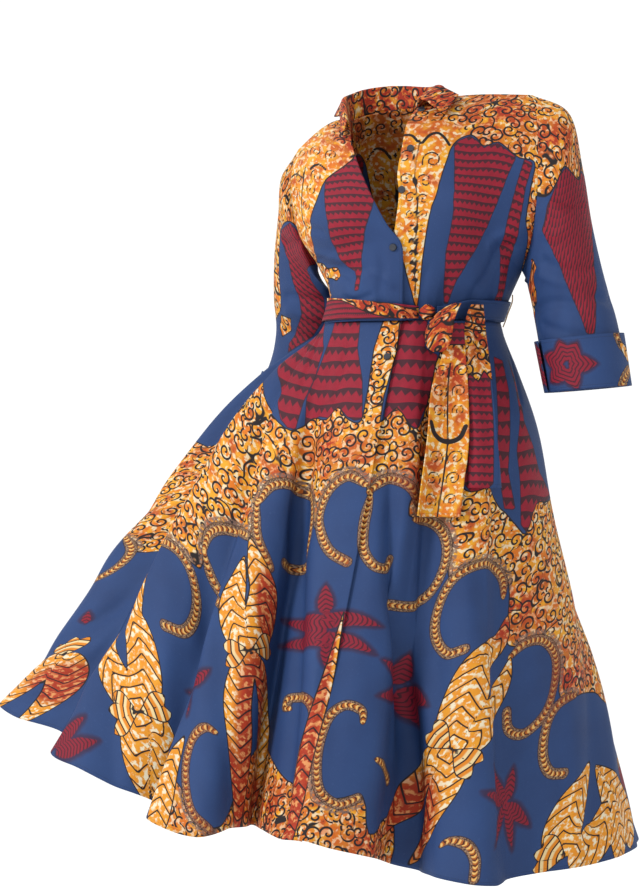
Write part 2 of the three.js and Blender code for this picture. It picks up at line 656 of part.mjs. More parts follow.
// The loop of sash folded down in front of the knot: a flattened ring of cloth, its fold low.
const LOOP = {
  rows: [[-254, 78, 84], [-266, 54, 78], [-284, 38, 72], [-300, 32, 70], [-317, 34, 65], [-327, 45, 55]],
  off: 25,
  swell: 4.5,
};
const loopLeft = through(LOOP.rows.map(([z, a]) => [a, 0, z]));
const loopRight = through(LOOP.rows.map(([z, , b]) => [b, 0, z]));
const loopSurface = (u, v) => {
  const angle = 2 * Math.PI * u;
  const down = 0.5 - 0.46 * Math.cos(angle);
  const place = loopLeft(down).lerp(loopRight(down), 1 - v);
  place.y = skirtFrontY(48, WAIST_Z - 12) - LOOP.off + LOOP.swell * Math.sin(angle);
  return place;
};
add('sash_loop', clothGeometry({ at: loopSurface, cols: 18, rows: 3, wall: 1.6, round: true }), ORANGE);

// ---------------------------------------------------------------- belt loops and buttons

// Thread loops hold the sash at the side seams.
const THREAD_RADIUS = 0.9;
const BELT_LOOPS = {
  belt_loop_left: [[162, -18, -239], [162, -16, -248], [156, -6, -266], [153, -1, -276], [149.5, 0, -285]],
};
for (const [name, points] of Object.entries(BELT_LOOPS)) {
  const path = new THREE.CatmullRomCurve3(points.map((p) => vec(...p)));
  const section = new THREE.Shape().absarc(0, 0, THREAD_RADIUS, 0, 2 * Math.PI);
  const geometry = new THREE.ExtrudeGeometry(section, { steps: 14, extrudePath: path, curveSegments: 3 });
  add(name, geometry, THREAD);
}

// Buttons: three on the open left front edge, one closing the right front, one on the skirt.
const BUTTON_CLEAR = 0.6;
const skirtEdgeButton = (u, v) => skirtPoint(mix(LINE.rightSeam, LINE.edge, u), 1 - v);
const BUTTONS = [
  ['button_neck', surfaces.frontLeft, 29, 22],
  ['button_upper', surfaces.frontLeft, 12, -38],
  ['button_chest', surfaces.frontLeft, -1, -97],
  ['button_fastened', surfaces.frontRight, -13, -178],
  ['button_skirt', skirtEdgeButton, -21, -332],
];

// The surface share (u, v) at a place seen from the front, found by closing in on it.
function shareAtPlace(surface, x, z, start) {
  let [u, v] = start;
  for (let k = 0; k < 30; k++) {
    const here = surface(u, v);
    const across = surface(Math.min(1, u + 0.01), v).x - surface(Math.max(0, u - 0.01), v).x;
    const up = surface(u, Math.min(1, v + 0.01)).z - surface(u, Math.max(0, v - 0.01)).z;
    u = clamp(u + (x - here.x) * 0.02 / across * 0.7);
    v = clamp(v + (z - here.z) * 0.02 / up * 0.7);
  }
  return [u, v];
}
for (const [name, surface, x, z] of BUTTONS) {
  const start = surface === surfaces.frontLeft ? [0.05, 0.8] : [0.9, 0.6];
  const [u, v] = shareAtPlace(surface, x, z, start);
  const normal = normalOf(surface, Math.min(0.995, Math.max(0.005, u)), Math.min(0.995, v));
  const shape = new THREE.CylinderGeometry(BUTTON.radius * 0.86, BUTTON.radius, BUTTON.depth, 14);
  const disc = add(name, shape, DARK);
  disc.quaternion.setFromUnitVectors(vec(0, 1, 0), normal);
  disc.position.copy(surface(u, v)).addScaledVector(normal, BUTTON.depth / 2 + BUTTON_CLEAR);
}

export default dress;
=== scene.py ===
"""Wax print shirt dress in its worn pose: fine cloth sheets with their folds, print and stitching,
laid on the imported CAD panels. Surfaces are computed in millimetres and built in metres."""

import math

import bpy
import numpy as np
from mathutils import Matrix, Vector


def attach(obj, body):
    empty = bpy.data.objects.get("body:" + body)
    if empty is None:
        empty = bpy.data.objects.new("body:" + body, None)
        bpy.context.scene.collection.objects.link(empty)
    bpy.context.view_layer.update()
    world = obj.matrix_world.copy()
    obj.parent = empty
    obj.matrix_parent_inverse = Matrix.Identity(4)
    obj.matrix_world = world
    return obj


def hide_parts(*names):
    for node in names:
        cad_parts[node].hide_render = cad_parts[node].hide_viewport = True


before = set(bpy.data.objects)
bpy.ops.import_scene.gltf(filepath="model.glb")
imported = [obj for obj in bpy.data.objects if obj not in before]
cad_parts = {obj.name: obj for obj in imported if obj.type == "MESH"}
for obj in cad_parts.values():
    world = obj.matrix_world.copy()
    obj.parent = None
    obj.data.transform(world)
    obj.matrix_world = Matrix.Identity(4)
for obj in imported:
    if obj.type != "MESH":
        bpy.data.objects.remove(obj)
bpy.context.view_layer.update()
PI2 = 2 * math.pi

# ------------------------------------------------------------------ helpers


def mix(a, b, t):
    return a + (b - a) * t


def clamp(t):
    return np.clip(t, 0.0, 1.0)


def smooth(t):
    t = clamp(t)
    return t * t * (3 - 2 * t)


def bell(t):
    return np.exp(-t * t)


def col(a):
    return np.asarray(a)[..., None]


def unit(v):
    return v / np.maximum(np.linalg.norm(v, axis=-1, keepdims=True), 1e-9)


def spline(points):
    """Coefficients of a centripetal Catmull-Rom curve; points is (..., count, 3)."""
    p = np.asarray(points, float)
    first = 2 * p[..., :1, :] - p[..., 1:2, :]
    last = 2 * p[..., -1:, :] - p[..., -2:-1, :]
    p = np.concatenate([first, p, last], axis=-2)
    a, b, c, d = (p[..., k : p.shape[-2] - 3 + k, :] for k in range(4))
    step = [np.sqrt(np.linalg.norm(q - r, axis=-1))[..., None] for q, r in ((b, a), (c, b), (d, c))]
    step[1] = np.where(step[1] < 1e-4, 1, step[1])
    step[0] = np.where(step[0] < 1e-4, step[1], step[0])
    step[2] = np.where(step[2] < 1e-4, step[1], step[2])
    d0, d1, d2 = step
    t1 = ((b - a) / d0 - (c - a) / (d0 + d1) + (c - b) / d1) * d1
    t2 = ((c - b) / d1 - (d - b) / (d1 + d2) + (d - c) / d2) * d1
    return np.stack([b, t1, -3 * b + 3 * c - 2 * t1 - t2, 2 * b - 2 * c + t1 + t2], axis=-2)


def read_spline(c, t):
    count = c.shape[-3]
    x = clamp(t) * count
    k = np.minimum(x.astype(int), count - 1)
    w = (x - k)[..., None]
    q = c[..., k, :, :]
    return q[..., 0, :] + w * (q[..., 1, :] + w * (q[..., 2, :] + w * q[..., 3, :]))


def through(points):
    c = spline(points)
    return lambda t: read_spline(c, np.asarray(t, float))


def grid(cols, rows):
    return np.meshgrid(np.linspace(0, 1, cols + 1), np.linspace(0, 1, rows + 1))


def normals(p):
    return unit(np.cross(np.gradient(p, axis=1), np.gradient(p, axis=0)))


# ------------------------------------------------------------------ bodice

WAIST_Z = -280.0
WAIST = dict(x=18.0, y=0.0, side=128.0, front=100.0, back=100.0)
UNDERARM = 0.45
NECK = {"right": [-72, -5, 14], "left": [44, -30, 40], "back": [-15, 58, 36]}
TIP = {"right": [-148, 61, -21], "left": [188, -45, 46]}
PIT = {"right": [-119, 28, -192], "left": [174, -40, -206]}
RISE = {"right": 13, "left": 5}
FRONT_EDGE = {
    "right": through([
        [1, -101, -280], [1, -113, -235], [1, -122, -196], [-2, -124, -172],
        [-22, -122, -145], [-51, -112, -87], [-70, -75, -29], NECK["right"],
    ]),
    "left": through([
        [-24, -99, -280], [-22, -113, -225], [-12, -124, -160], [-5, -126, -101],
        [-7, -122, -76], [1, -105, -29], [8, -86, 2], [24, -56, 26], NECK["left"],
    ]),
}
CENTRE_BACK = through([
    [18, 100, -280], [14, 112, -220], [6, 126, -150], [-2, 122, -80], [-10, 98, -10], NECK["back"],
])
SIDE_SEAM = {
    "right": through([[-110, 0, -280], [-101, 8, -240], PIT["right"]]),
    "left": through([[146, 0, -280], [158, -16, -245], PIT["left"]]),
}
ARMHOLE = {
    ("right", "front"): through([
        PIT["right"], [-144, 6, -155], [-156, 14, -110], [-158, 38, -58], TIP["right"],
    ]),
    ("right", "back"): through([
        PIT["right"], [-118, 78, -165], [-124, 108, -115], [-138, 98, -58], TIP["right"],
    ]),
    ("left", "front"): through([
        PIT["left"], [184, -86, -165], [191, -106, -95], [192, -85, 6], TIP["left"],
    ]),
    ("left", "back"): through([
        PIT["left"], [182, 0, -165], [188, 18, -95], [190, -3, 6], TIP["left"],
    ]),
}
BACK_NECK = {
    "right": through([NECK["back"], [-48, 50, 28], [-68, 24, 17], NECK["right"]]),
    "left": through([NECK["back"], [18, 42, 38], [38, 6, 40], NECK["left"]]),
}
BACK_NECK_SHARE = 0.38


def outer_edge(side, face, v):
    low = SIDE_SEAM[side](v / UNDERARM)
    high = ARMHOLE[side, face]((v - UNDERARM) / (1 - UNDERARM))
    return np.where(col(v <= UNDERARM), low, high)


def shoulder_seam(side, share):
    p = mix(np.array(NECK[side], float), np.array(TIP[side], float), col(share))
    p[..., 2] += RISE[side] * np.sin(math.pi * clamp(share) ** 0.8)
    return p


def level_arc(middle, edge, v, share):
    yaw = np.radians(24 * v)
    zero = np.zeros_like(yaw)
    across = np.stack([np.cos(yaw), -np.sin(yaw), zero], -1)
    forward = np.stack([-np.sin(yaw), -np.cos(yaw), zero], -1)
    most = np.radians(mix(90, 52, smooth((v - UNDERARM * 0.8) / (1 - UNDERARM * 0.8))))
    angle = most * share
    gap = edge - middle
    a = (gap * across).sum(-1) * np.sin(angle) / np.sin(most)
    f = (gap * forward).sum(-1) * (1 - np.cos(angle)) / (1 - np.cos(most))
    p = middle + across * col(a) + forward * col(f)
    p[..., 2] += gap[..., 2] * smooth(share)
    return p


def front_point(side, share, v):
    share, v = np.broadcast_arrays(np.asarray(share, float), np.asarray(v, float))
    one = np.ones_like(v)
    edge = FRONT_EDGE[side]
    p = level_arc(edge(v), outer_edge(side, "front", v), v, share)
    top = level_arc(edge(one), outer_edge(side, "front", one), one, share)
    p = p + (shoulder_seam(side, share) - top) * col(smooth((v - 0.55) / 0.45))
    free = np.sin(math.pi * np.minimum(1, share * 1.02)) * clamp(v * 5) * clamp((1 - v) * 5)
    out = sum(bell(np.hypot(p[..., 0] - x, p[..., 2] - z) / 46) for x, z in ((-82, -132), (78, -122)))
    along = p[..., 0] + 80
    crease = -4 * bell(along / 42) * bell((p[..., 2] + 203 + 0.18 * along) / 7)
    p[..., 1] -= free * (15 * out + crease)
    return p


def back_half(side, share, v):
    one = np.ones_like(v)
    p = level_arc(CENTRE_BACK(v), outer_edge(side, "back", v), v, share)
    top = level_arc(CENTRE_BACK(one), outer_edge(side, "back", one), one, share)
    neck = BACK_NECK[side](share / BACK_NECK_SHARE)
    seam = shoulder_seam(side, (share - BACK_NECK_SHARE) / (1 - BACK_NECK_SHARE))
    goal = np.where(col(share < BACK_NECK_SHARE), neck, seam)
    return p + (goal - top) * col(smooth((v - 0.55) / 0.45))


def front_right(u, v):
    return front_point("right", 1 - u, v)


LAP_GAP = 4.4  # how far the under front lies behind the front that laps over it


def front_left(u, v):
    p = front_point("left", u, v)
    p[..., 1] += LAP_GAP * (1 - smooth(u / 0.3)) * smooth((0.62 - v) / 0.12)
    return p


def back(u, v):
    u, v = np.broadcast_arrays(np.asarray(u, float), np.asarray(v, float))
    left = back_half("left", clamp(1 - 2 * u), v)
    right = back_half("right", clamp(2 * u - 1), v)
    return np.where(col(u < 0.5), left, right)


# ------------------------------------------------------------------ sleeves and cuffs

SLEEVES = {
    "right": [
        ([-118, 36, -203], [-167, 73, -54], 47, 17), ([-110, 50, -218], [-174, 86, -108], 50, 15),
        ([-90, 80, -237], [-183, 102, -168], 53, 6), ([-73, 100, -256], [-185, 122, -235], 57, 0),
        ([-72, 124, -300], [-182, 148, -286], 58, 0), ([-90, 160, -382], [-193, 160, -336], 59, 0),
        ([-130, 186, -458], [-232, 184, -404], 60, 0),
    ],
    "left": [
        ([178, -42, -214], [238, -50, 22], 65, 0), ([181, -44, -223], [260, -52, -60], 65, 0),
        ([184, -46, -237], [273, -54, -140], 63, 0), ([188, -48, -257], [290, -56, -215], 61, 0),
        ([194, -54, -292], [308, -62, -280], 60, 0), ([208, -66, -381], [324, -76, -372], 60, 0),
    ],
}
CUFF_START = {"right": 0.88, "left": 0.867}


def sleeve_grid(side, turns, shares):
    """Sleeve points for each share (rows) and turn (columns)."""
    turns = np.asarray(turns) - np.floor(turns)
    rising, falling = ("front", "back") if side == "right" else ("back", "front")
    loop = np.where(
        col(turns <= 0.5),
        ARMHOLE[side, rising](clamp(turns * 2)),
        ARMHOLE[side, falling](clamp(2 - turns * 2)),
    )
    stations = [loop]
    forward = np.array([0, -1 if side == "right" else 1, 0])
    angle = PI2 * turns
    for near, far, depth, lean in SLEEVES[side]:
        near, far = np.array(near, float), np.array(far, float)
        p = (near + far) / 2 + col(np.cos(angle)) * (near - far) / 2 + col(depth * np.sin(angle)) * forward
        p[:, 0] -= lean * np.maximum(0, np.sin(angle))
        stations.append(p)
    c = spline(np.stack(stations, 1))
    return np.swapaxes(read_spline(c, np.asarray(shares, float)), 0, 1)


# ------------------------------------------------------------------ skirt

HEM = np.array([
    [-106, -478, -105, -862], [-102, -490, -150, -886], [-98, -452, -182, -902],
    [-93, -396, -205, -925], [-88, -340, -200, -950], [-84, -350, -243, -966],
    [-77, -285, -275, -985], [-69, -240, -245, -980], [-59, -212, -180, -982],
    [-46, -196, -225, -982], [-30, -172, -282, -986], [-8, -140, -300, -988],
    [0, -100, -306, -997], [6, -50, -290, -1010], [10, -34, -235, -1022],
    [17, -12, -205, -1034], [26, 34, -240, -1042], [36, 84, -285, -1048],
    [44, 128, -278, -1050], [50, 141, -238, -1048], [58, 186, -215, -1043],
    [68, 252, -190, -1037], [79, 306, -130, -1032], [90, 342, -55, -1026],
    [100, 338, 25, -1022], [108, 300, 70, -1020], [117, 308, 130, -1022],
    [126, 248, 152, -1024], [135, 232, 212, -1026], [144, 170, 205, -1026],
    [153, 130, 262, -1026], [162, 76, 232, -1025], [171, 34, 276, -1024],
    [180, -14, 242, -1020], [189, -66, 276, -1014], [198, -112, 236, -1004],
    [207, -172, 252, -990], [215, -212, 196, -973], [223, -282, 200, -950],
    [231, -318, 140, -925], [238, -396, 132, -897], [243, -430, 76, -872],
    [248, -520, 48, -846], [252, -572, -18, -832], [253, -548, -70, -843],
], float)
LINE = dict(right_seam=0, edge=11, under_edge=10.3, left_seam=24, back_seam=33, end=len(HEM))


def hem_line(line):
    start = np.floor(line).astype(int)
    t = col(line - start)

    def row(k):
        index = start + k
        turn = np.floor_divide(index, len(HEM))
        r = HEM[index - turn * len(HEM)].copy()
        r[..., 0] += 360 * turn
        return r

    a, b, c, d = row(-1), row(0), row(1), row(2)
    return 0.5 * (2 * b + (c - a) * t + (2 * a - 5 * b + 4 * c - d) * t * t + (3 * b - a - 3 * c + d) * t**3)


def skirt_point(line, drop):
    line, drop = np.broadcast_arrays(np.asarray(line, float), np.asarray(drop, float))
    r = hem_line(line)
    angle = r[..., 0]
    s, c = np.sin(np.radians(angle)), np.cos(np.radians(angle))
    depth = np.where(c > 0, WAIST["front"], WAIST["back"])
    start = np.stack([WAIST["x"] + WAIST["side"] * s, WAIST["y"] - depth * c, np.full_like(s, WAIST_Z)], -1)
    p = mix(start, r[..., 1:], col(drop))
    hip = 13 * bell((drop - 0.2) / 0.13) * smooth(drop * 12)
    p[..., 0] += s * hip
    p[..., 1] -= c * hip
    away = np.mod(angle + 108 + 540, 360) - 180
    p[..., 0] -= 42 * bell((drop - 0.36) / 0.36) * bell(away / 26) * smooth(drop * 9)
    return p


# ------------------------------------------------------------------ collar

COLLAR = [
    ([-3, -10, 12], [-4, -7, -3], [-6, -8, -20]), ([-6, -2, 32], [-5, 1, 0], [-5, 5, -24]),
    ([-4, 0, 36], [-7, 7, 0], [-16, 20, -28]), ([0, -4, 36], [0, 9, 0], [0, 22, -32]),
    ([3, -4, 32], [7, 7, 0], [16, 18, -26]), ([6, -6, 22], [8, -2, 0], [24, -8, -13]),
    ([4, -12, 18], [9, -8, 0], [25, -16, -15]), ([-1, -12, 10], [12, -12, -3], [26, -10, -20]),
]
COLLAR_CURVES = [through([station[k] for station in COLLAR]) for k in range(3)]
STAND_SHARE = 0.42


def neckline(along):
    turn = (along - 1 / 7) * 7 / 5
    right = FRONT_EDGE["right"](mix(0.93, 1, clamp(along * 7)))
    left = FRONT_EDGE["left"](mix(1, 0.875, clamp(along * 7 - 6)))
    round_right = BACK_NECK["right"](clamp(1 - 2 * turn))
    round_left = BACK_NECK["left"](clamp(2 * turn - 1))
    p = np.where(col(turn < 0.5), round_right, round_left)
    p = np.where(col(along < 1 / 7), right, p)
    return np.where(col(along > 6 / 7), left, p)


def collar_point(along, deep):
    along, deep = np.broadcast_arrays(np.asarray(along, float), np.asarray(deep, float))
    rise, out, fall = (curve(along) for curve in COLLAR_CURVES)
    foot = neckline(along) + unit(rise) * 1.1
    stand = foot + rise * col(np.minimum(1, deep / STAND_SHARE))
    past = clamp((deep - STAND_SHARE) / (1 - STAND_SHARE))
    turn = np.minimum(1, past * 3.4)
    p = stand + out * col(0.5 - 0.5 * np.cos(math.pi * turn)) + fall * col(past * past * 0.35 + past * 0.65)
    p[..., 2] += 3 * np.sin(math.pi * turn)
    return p


# ------------------------------------------------------------------ sash

SASH_LOW = -277
SASH_LIFT = 4.3
KNOT = np.array([36.0, -114.0, -269.0])
KNOT_HALF = 13


def solve(f, goal, low, high):
    low = np.full(np.shape(goal), float(low))
    high = np.full(np.shape(goal), float(high))
    for _ in range(24):
        middle = (low + high) / 2
        less = f(middle) < goal
        low, high = np.where(less, middle, low), np.where(less, high, middle)
    return (low + high) / 2


EDGE_X = float(FRONT_EDGE["right"](0.0)[0])


def closing(u, v):
    u, v = np.broadcast_arrays(np.asarray(u, float), np.asarray(v, float))
    right = front_point("right", clamp(1 - 2 * u), v)
    start = solve(lambda s: front_point("left", s, v)[..., 0], np.full(u.shape, EDGE_X), 0, 1)
    left = front_point("left", mix(start, 1, clamp(2 * u - 1)), v)
    return np.where(col(u < 0.5), right, left)


def sash_grid(surface, start, end, top_at, cols, rows):
    u, v = grid(cols, rows)
    across = mix(start, end, u)
    z = mix(SASH_LOW, top_at(u), v)
    share = solve(lambda s: surface(across, s)[..., 2], z, 0, 0.6)
    p = surface(across, share)
    n = normals(p)
    n[..., 2] = 0
    return p, unit(n)


def sash_cut(x):
    return float(solve(lambda s: closing(s, 0.05)[..., 0], np.array(x), 0.3, 1))


def skirt_front_y(x, z):
    """Foremost y of the skirt at each place seen from the front."""
    height = np.minimum(z, WAIST_Z - 1)
    lines = np.arange(LINE["under_edge"], LINE["left_seam"], 0.2)
    ends = hem_line(lines)[:, 3]
    drops = (WAIST_Z - height)[..., None] / (WAIST_Z - ends)
    p = skirt_point(np.broadcast_to(lines, drops.shape), drops)
    xs, ys = p[..., 0], p[..., 1]
    gap = xs - x[..., None]
    hit = gap[..., :-1] * gap[..., 1:] <= 0
    share = -gap[..., :-1] / np.where(np.abs(np.diff(xs)) < 1e-9, 1e-9, np.diff(xs))
    y = mix(ys[..., :-1], ys[..., 1:], share)
    return np.where(hit, y, 0).min(-1)


# ------------------------------------------------------------------ panels
#
# Every panel is a grid of points with flat-cloth coordinates in millimetres: s across the cloth and
# h up it, measured along the surface, so that the print lies on the cloth as it was printed.


SLEEVE_REPEAT = {"sleeve_right": 196, "sleeve_left": 210}


def repeated(s, size):
    """s as it is read in a chart that repeats round a sleeve."""
    return np.mod(s + size / 2, size) - size / 2


def along_columns(p, zero_share):
    """Distance along each row, zero at one share of its columns."""
    step = np.linalg.norm(np.diff(p, axis=1), axis=-1)
    s = np.concatenate([np.zeros((len(p), 1)), np.cumsum(step, axis=1)], axis=1)
    return s - s[:, [int(round(zero_share * (p.shape[1] - 1)))]]


def along_rows(p, from_top):
    step = np.linalg.norm(np.diff(p, axis=0), axis=-1)
    h = np.concatenate([np.zeros((1, p.shape[1])), np.cumsum(step, axis=0)], axis=0)
    return h - h[-1:] if from_top else h


UNDERLAP = 25  # how far the under front of the bodice reaches past the closing line


def bodice_panels():
    u, v = grid(66, 150)
    fr = front_right(u, v)
    u, v = grid(90, 160)
    fl = front_left(u, v)
    bk = back(*grid(100, 110))
    return {
        "bodice_front_right": (fr, along_columns(fr, 1), along_rows(fr, False)),
        "bodice_front_left": (fl, along_columns(fl, 0) - UNDERLAP, along_rows(fl, False)),
        "bodice_back": (bk, along_columns(bk, 0.5), along_rows(bk, False)),
    }


def sleeve_panels():
    found = {}
    for side in ("right", "left"):
        p = sleeve_grid(side, np.linspace(0, 1, 121) % 1.0, np.linspace(0, 1, 120))
        p[:, -1] = p[:, 0]
        front = 0.25 if side == "right" else 0.75
        found["sleeve_" + side] = (p, along_columns(p, front), p[..., 2].copy())
        slit = 0.06 if side == "right" else -0.06
        turns = slit + mix(0.012, 0.988, np.linspace(0, 1, 131))
        shares = np.linspace(CUFF_START[side], 1, 30)
        p = sleeve_grid(side, turns, shares)
        out = 3.9 + 2.5 * (1 - np.linspace(0, 1, 30))
        p = p + normals(p) * out[:, None, None]
        found["cuff_" + side] = (p, along_columns(p, front), -along_rows(p, False))
    return found


def skirt_panels():
    found = {}
    bands = {
        "skirt_front_right": (LINE["right_seam"], LINE["edge"], 250, 1),
        "skirt_front_left": (LINE["under_edge"], LINE["left_seam"], 290, 0),
        "skirt_back_left": (LINE["left_seam"], LINE["back_seam"], 130, 1),
        "skirt_back_right": (LINE["back_seam"], LINE["end"], 190, 0),
    }
    for name, (start, stop, cols, zero) in bands.items():
        u, v = grid(cols, 150)
        line = mix(start, stop, u)
        p = skirt_point(line, 1 - v)
        if name == "skirt_front_left":
            p[..., 1] += LAP_GAP * (1 - smooth((line - LINE["edge"] - 0.1) / 1.2))
        s = along_columns(p, zero)
        if name == "skirt_front_left":
            at_edge = np.abs(np.linspace(start, stop, cols + 1) - LINE["edge"]).argmin()
            s = s - s[:, [at_edge]]
        found[name] = (p, s, along_rows(p, True))
    return found


def collar_panel():
    u, v = grid(150, 34)
    p = collar_point(1 - u, 1 - v)
    p[-1] += unit(p[-1] - p[-2]) * 3.5
    return {"collar": (p, along_columns(p, 0.5), along_rows(p, False))}


def sash_panels():
    found = {}
    knot_start, knot_end = sash_cut(KNOT[0] - KNOT_HALF), sash_cut(KNOT[0] + KNOT_HALF)
    bands = {
        "sash_right": (closing, 0, knot_start, lambda u: mix(-243, -260, u**1.5), 70),
        "sash_left": (closing, knot_end, 1, lambda u: mix(-260, -250, smooth(3 * u)), 60),
        "sash_back": (back, 0, 1, lambda u: mix(-250, -243, u), 100),
    }
    for name, (surface, start, stop, top_at, cols) in bands.items():
        p, n = sash_grid(surface, start, stop, top_at, cols, 20)
        p = p + n * SASH_LIFT
        found[name] = (p, along_columns(p, 0), along_rows(p, False))
    return found


TAILS = {
    "sash_tail_inner": ([
        [-284, 56, 88], [-319, 58, 89], [-377, 41, 92], [-450, 34, 92], [-508, 26, 85], [-556, 20, 79],
    ], 11.5),
    "sash_tail_outer": ([
        [-257, 99, 116], [-268, 93, 117], [-305, 86, 121], [-360, 86, 127], [-430, 92, 132], [-516, 90, 139],
    ], 4.5),
}
LOOP = [[-254, 78, 84], [-266, 54, 78], [-284, 38, 72], [-300, 32, 70], [-317, 34, 65], [-327, 45, 55]]


def tail_panels():
    found = {}
    for name, (rows, off) in TAILS.items():
        left = through([[a, 0, z] for z, a, _ in rows])
        right = through([[b, 0, z] for z, _, b in rows])
        u, v = grid(26, 120)
        p = mix(left(1 - v), right(1 - v), col(u))
        over = 9 * smooth((p[..., 2] + 300) / 20)
        ripple = 2.5 * np.sin(u * PI2) * smooth((1 - v) * 2)
        samples = np.stack([skirt_front_y(p[..., 0] + dx, p[..., 2]) for dx in (-14, 0, 14)])
        p[..., 1] = np.minimum(samples.min(0), samples.mean(0)) - off - over - ripple
        found[name] = (p, along_columns(p, 0.5), along_rows(p, True))
    return found


def loop_panel():
    left = through([[a, 0, z] for z, a, _ in LOOP])
    right = through([[b, 0, z] for z, _, b in LOOP])
    u, v = grid(72, 14)
    angle = PI2 * u
    down = 0.5 - 0.46 * np.cos(angle)
    p = mix(left(down), right(down), col(1 - v))
    front = float(skirt_front_y(np.array(48.0), np.array(WAIST_Z - 12)))
    p[..., 1] = front - 25 + 4.5 * np.sin(angle)
    return {"sash_loop": (p, along_columns(p, 0), along_rows(p, False))}


PANELS = {
    **bodice_panels(), **sleeve_panels(), **skirt_panels(), **collar_panel(), **sash_panels(),
    **tail_panels(), **loop_panel(),
}

# ------------------------------------------------------------------ creases
#
# Soft troughs and ridges placed in cloth coordinates: depth outward, half width, points.

CREASES = {
    "skirt": [
        (-17, 15, (4, -120), (40, -297), (70, -408), (145, -540), (198, -677), (224, -790)),
        (10, 20, (34, -90), (84, -300), (120, -420), (190, -560), (250, -700), (280, -790)),
        (-10, 18, (-110, -120), (-127, -294), (-98, -409), (-63, -554), (-37, -720)),
        (7, 20, (-60, -150), (-70, -330), (-40, -450), (-10, -580), (10, -780)),
        (-6, 20, (-200, -150), (-225, -330), (-242, -469), (-234, -607), (-207, -760)),
        (5, 22, (-180, -180), (-200, -400), (-190, -560), (-170, -740)),
        (-6, 20, (-260, -240), (-303, -399), (-300, -532), (-300, -670), (-300, -754)),
        (-6, 18, (149, -220), (200, -352), (254, -463), (315, -601), (372, -790)),
        (5, 20, (119, -200), (167, -401), (220, -543), (300, -790)),
        (-5, 18, (266, -292), (344, -435), (424, -577), (497, -790)),
        (4, 20, (-360, -380), (-380, -560), (-390, -740)),
        (-6, 20, (400, -150), (470, -400), (540, -780)), (5, 22, (440, -150), (520, -400), (600, -780)),
        (-6, 20, (560, -150), (640, -400), (710, -780)), (5, 22, (600, -150), (690, -400), (780, -780)),
        (-6, 20, (-420, -150), (-450, -400), (-470, -780)), (5, 22, (-470, -150), (-510, -400), (-520, -780)),
        (-2.5, 5, (-150, -6), (-146, -60), (-150, -110)), (-2.5, 5, (-84, -6), (-80, -50), (-84, -120)),
        (-2.5, 5, (70, -6), (76, -50), (82, -110)), (-2.5, 5, (120, -6), (128, -60), (140, -120)),
        (-2.5, 5, (-220, -6), (-226, -60), (-236, -120)), (-2.5, 5, (200, -6), (212, -60), (230, -120)),
        (-2.5, 5, (300, -6), (312, -70)), (-2.5, 5, (420, -6), (432, -80)), (-2.5, 5, (-320, -6), (-330, -80)),
    ],
    "front_right": [
        (-4, 7, (-180, 100), (-140, 84), (-104, 76), (-78, 62)), (3, 7, (-170, 116), (-130, 102), (-92, 92)),
        (-3, 6, (-150, 60), (-120, 66), (-90, 56)), (-3, 6, (-110, 40), (-80, 30), (-50, 36)),
        (2.5, 6, (-60, 74), (-36, 66), (-14, 52)), (-3, 7, (-40, 110), (-30, 80), (-34, 40), (-30, 8)),
        (-3, 7, (-176, 150), (-140, 150), (-108, 138)), (-2.5, 6, (-86, 26), (-84, 4)),
    ],
    "front_left": [
        (-4, 8, (210, 130), (176, 120), (146, 96), (120, 60)), (3, 8, (206, 150), (170, 142), (134, 116)),
        (-3, 7, (120, 70), (104, 40), (100, 8)), (-3, 7, (66, 80), (58, 40), (54, 6)),
        (-3, 8, (150, 50), (140, 24), (138, 4)), (2.5, 8, (190, 96), (160, 70), (150, 30)),
        (-2.5, 7, (30, 90), (26, 44), (22, 6)),
    ],
    "sleeve_right": [
        (-4, 8, (-60, -150), (-20, -164), (30, -160)), (-4, 8, (-70, -230), (-20, -244), (40, -236)),
        (3, 8, (-60, -250), (-10, -266), (44, -258)), (-4, 8, (-60, -290), (0, -300), (50, -286)),
        (-3, 8, (-50, -340), (0, -352), (50, -344)),
    ],
    "sleeve_left": [
        (-4, 8, (-80, -110), (-40, -120), (10, -104)), (-4, 8, (-60, -196), (-10, -210), (50, -196)),
        (3, 8, (-50, -214), (0, -228), (56, -214)), (-4, 8, (-20, -262), (30, -254), (80, -266)),
        (-4, 8, (-90, -240), (-60, -252), (-30, -244)), (-3, 8, (-40, -290), (10, -300), (60, -286)),
        (3, 8, (-30, -150), (20, -160), (70, -150)),
    ],
}


def crease_depth(chart, s, h):
    total = np.zeros(s.shape)
    for out, half, *points in CREASES.get(chart, []):
        d, along = stroke(s, h, rounded(points))
        size = sum(math.dist(a, b) for a, b in zip(points, points[1:]))
        total += out * bell(d / half) * smooth(along / (0.3 * size))
    return total
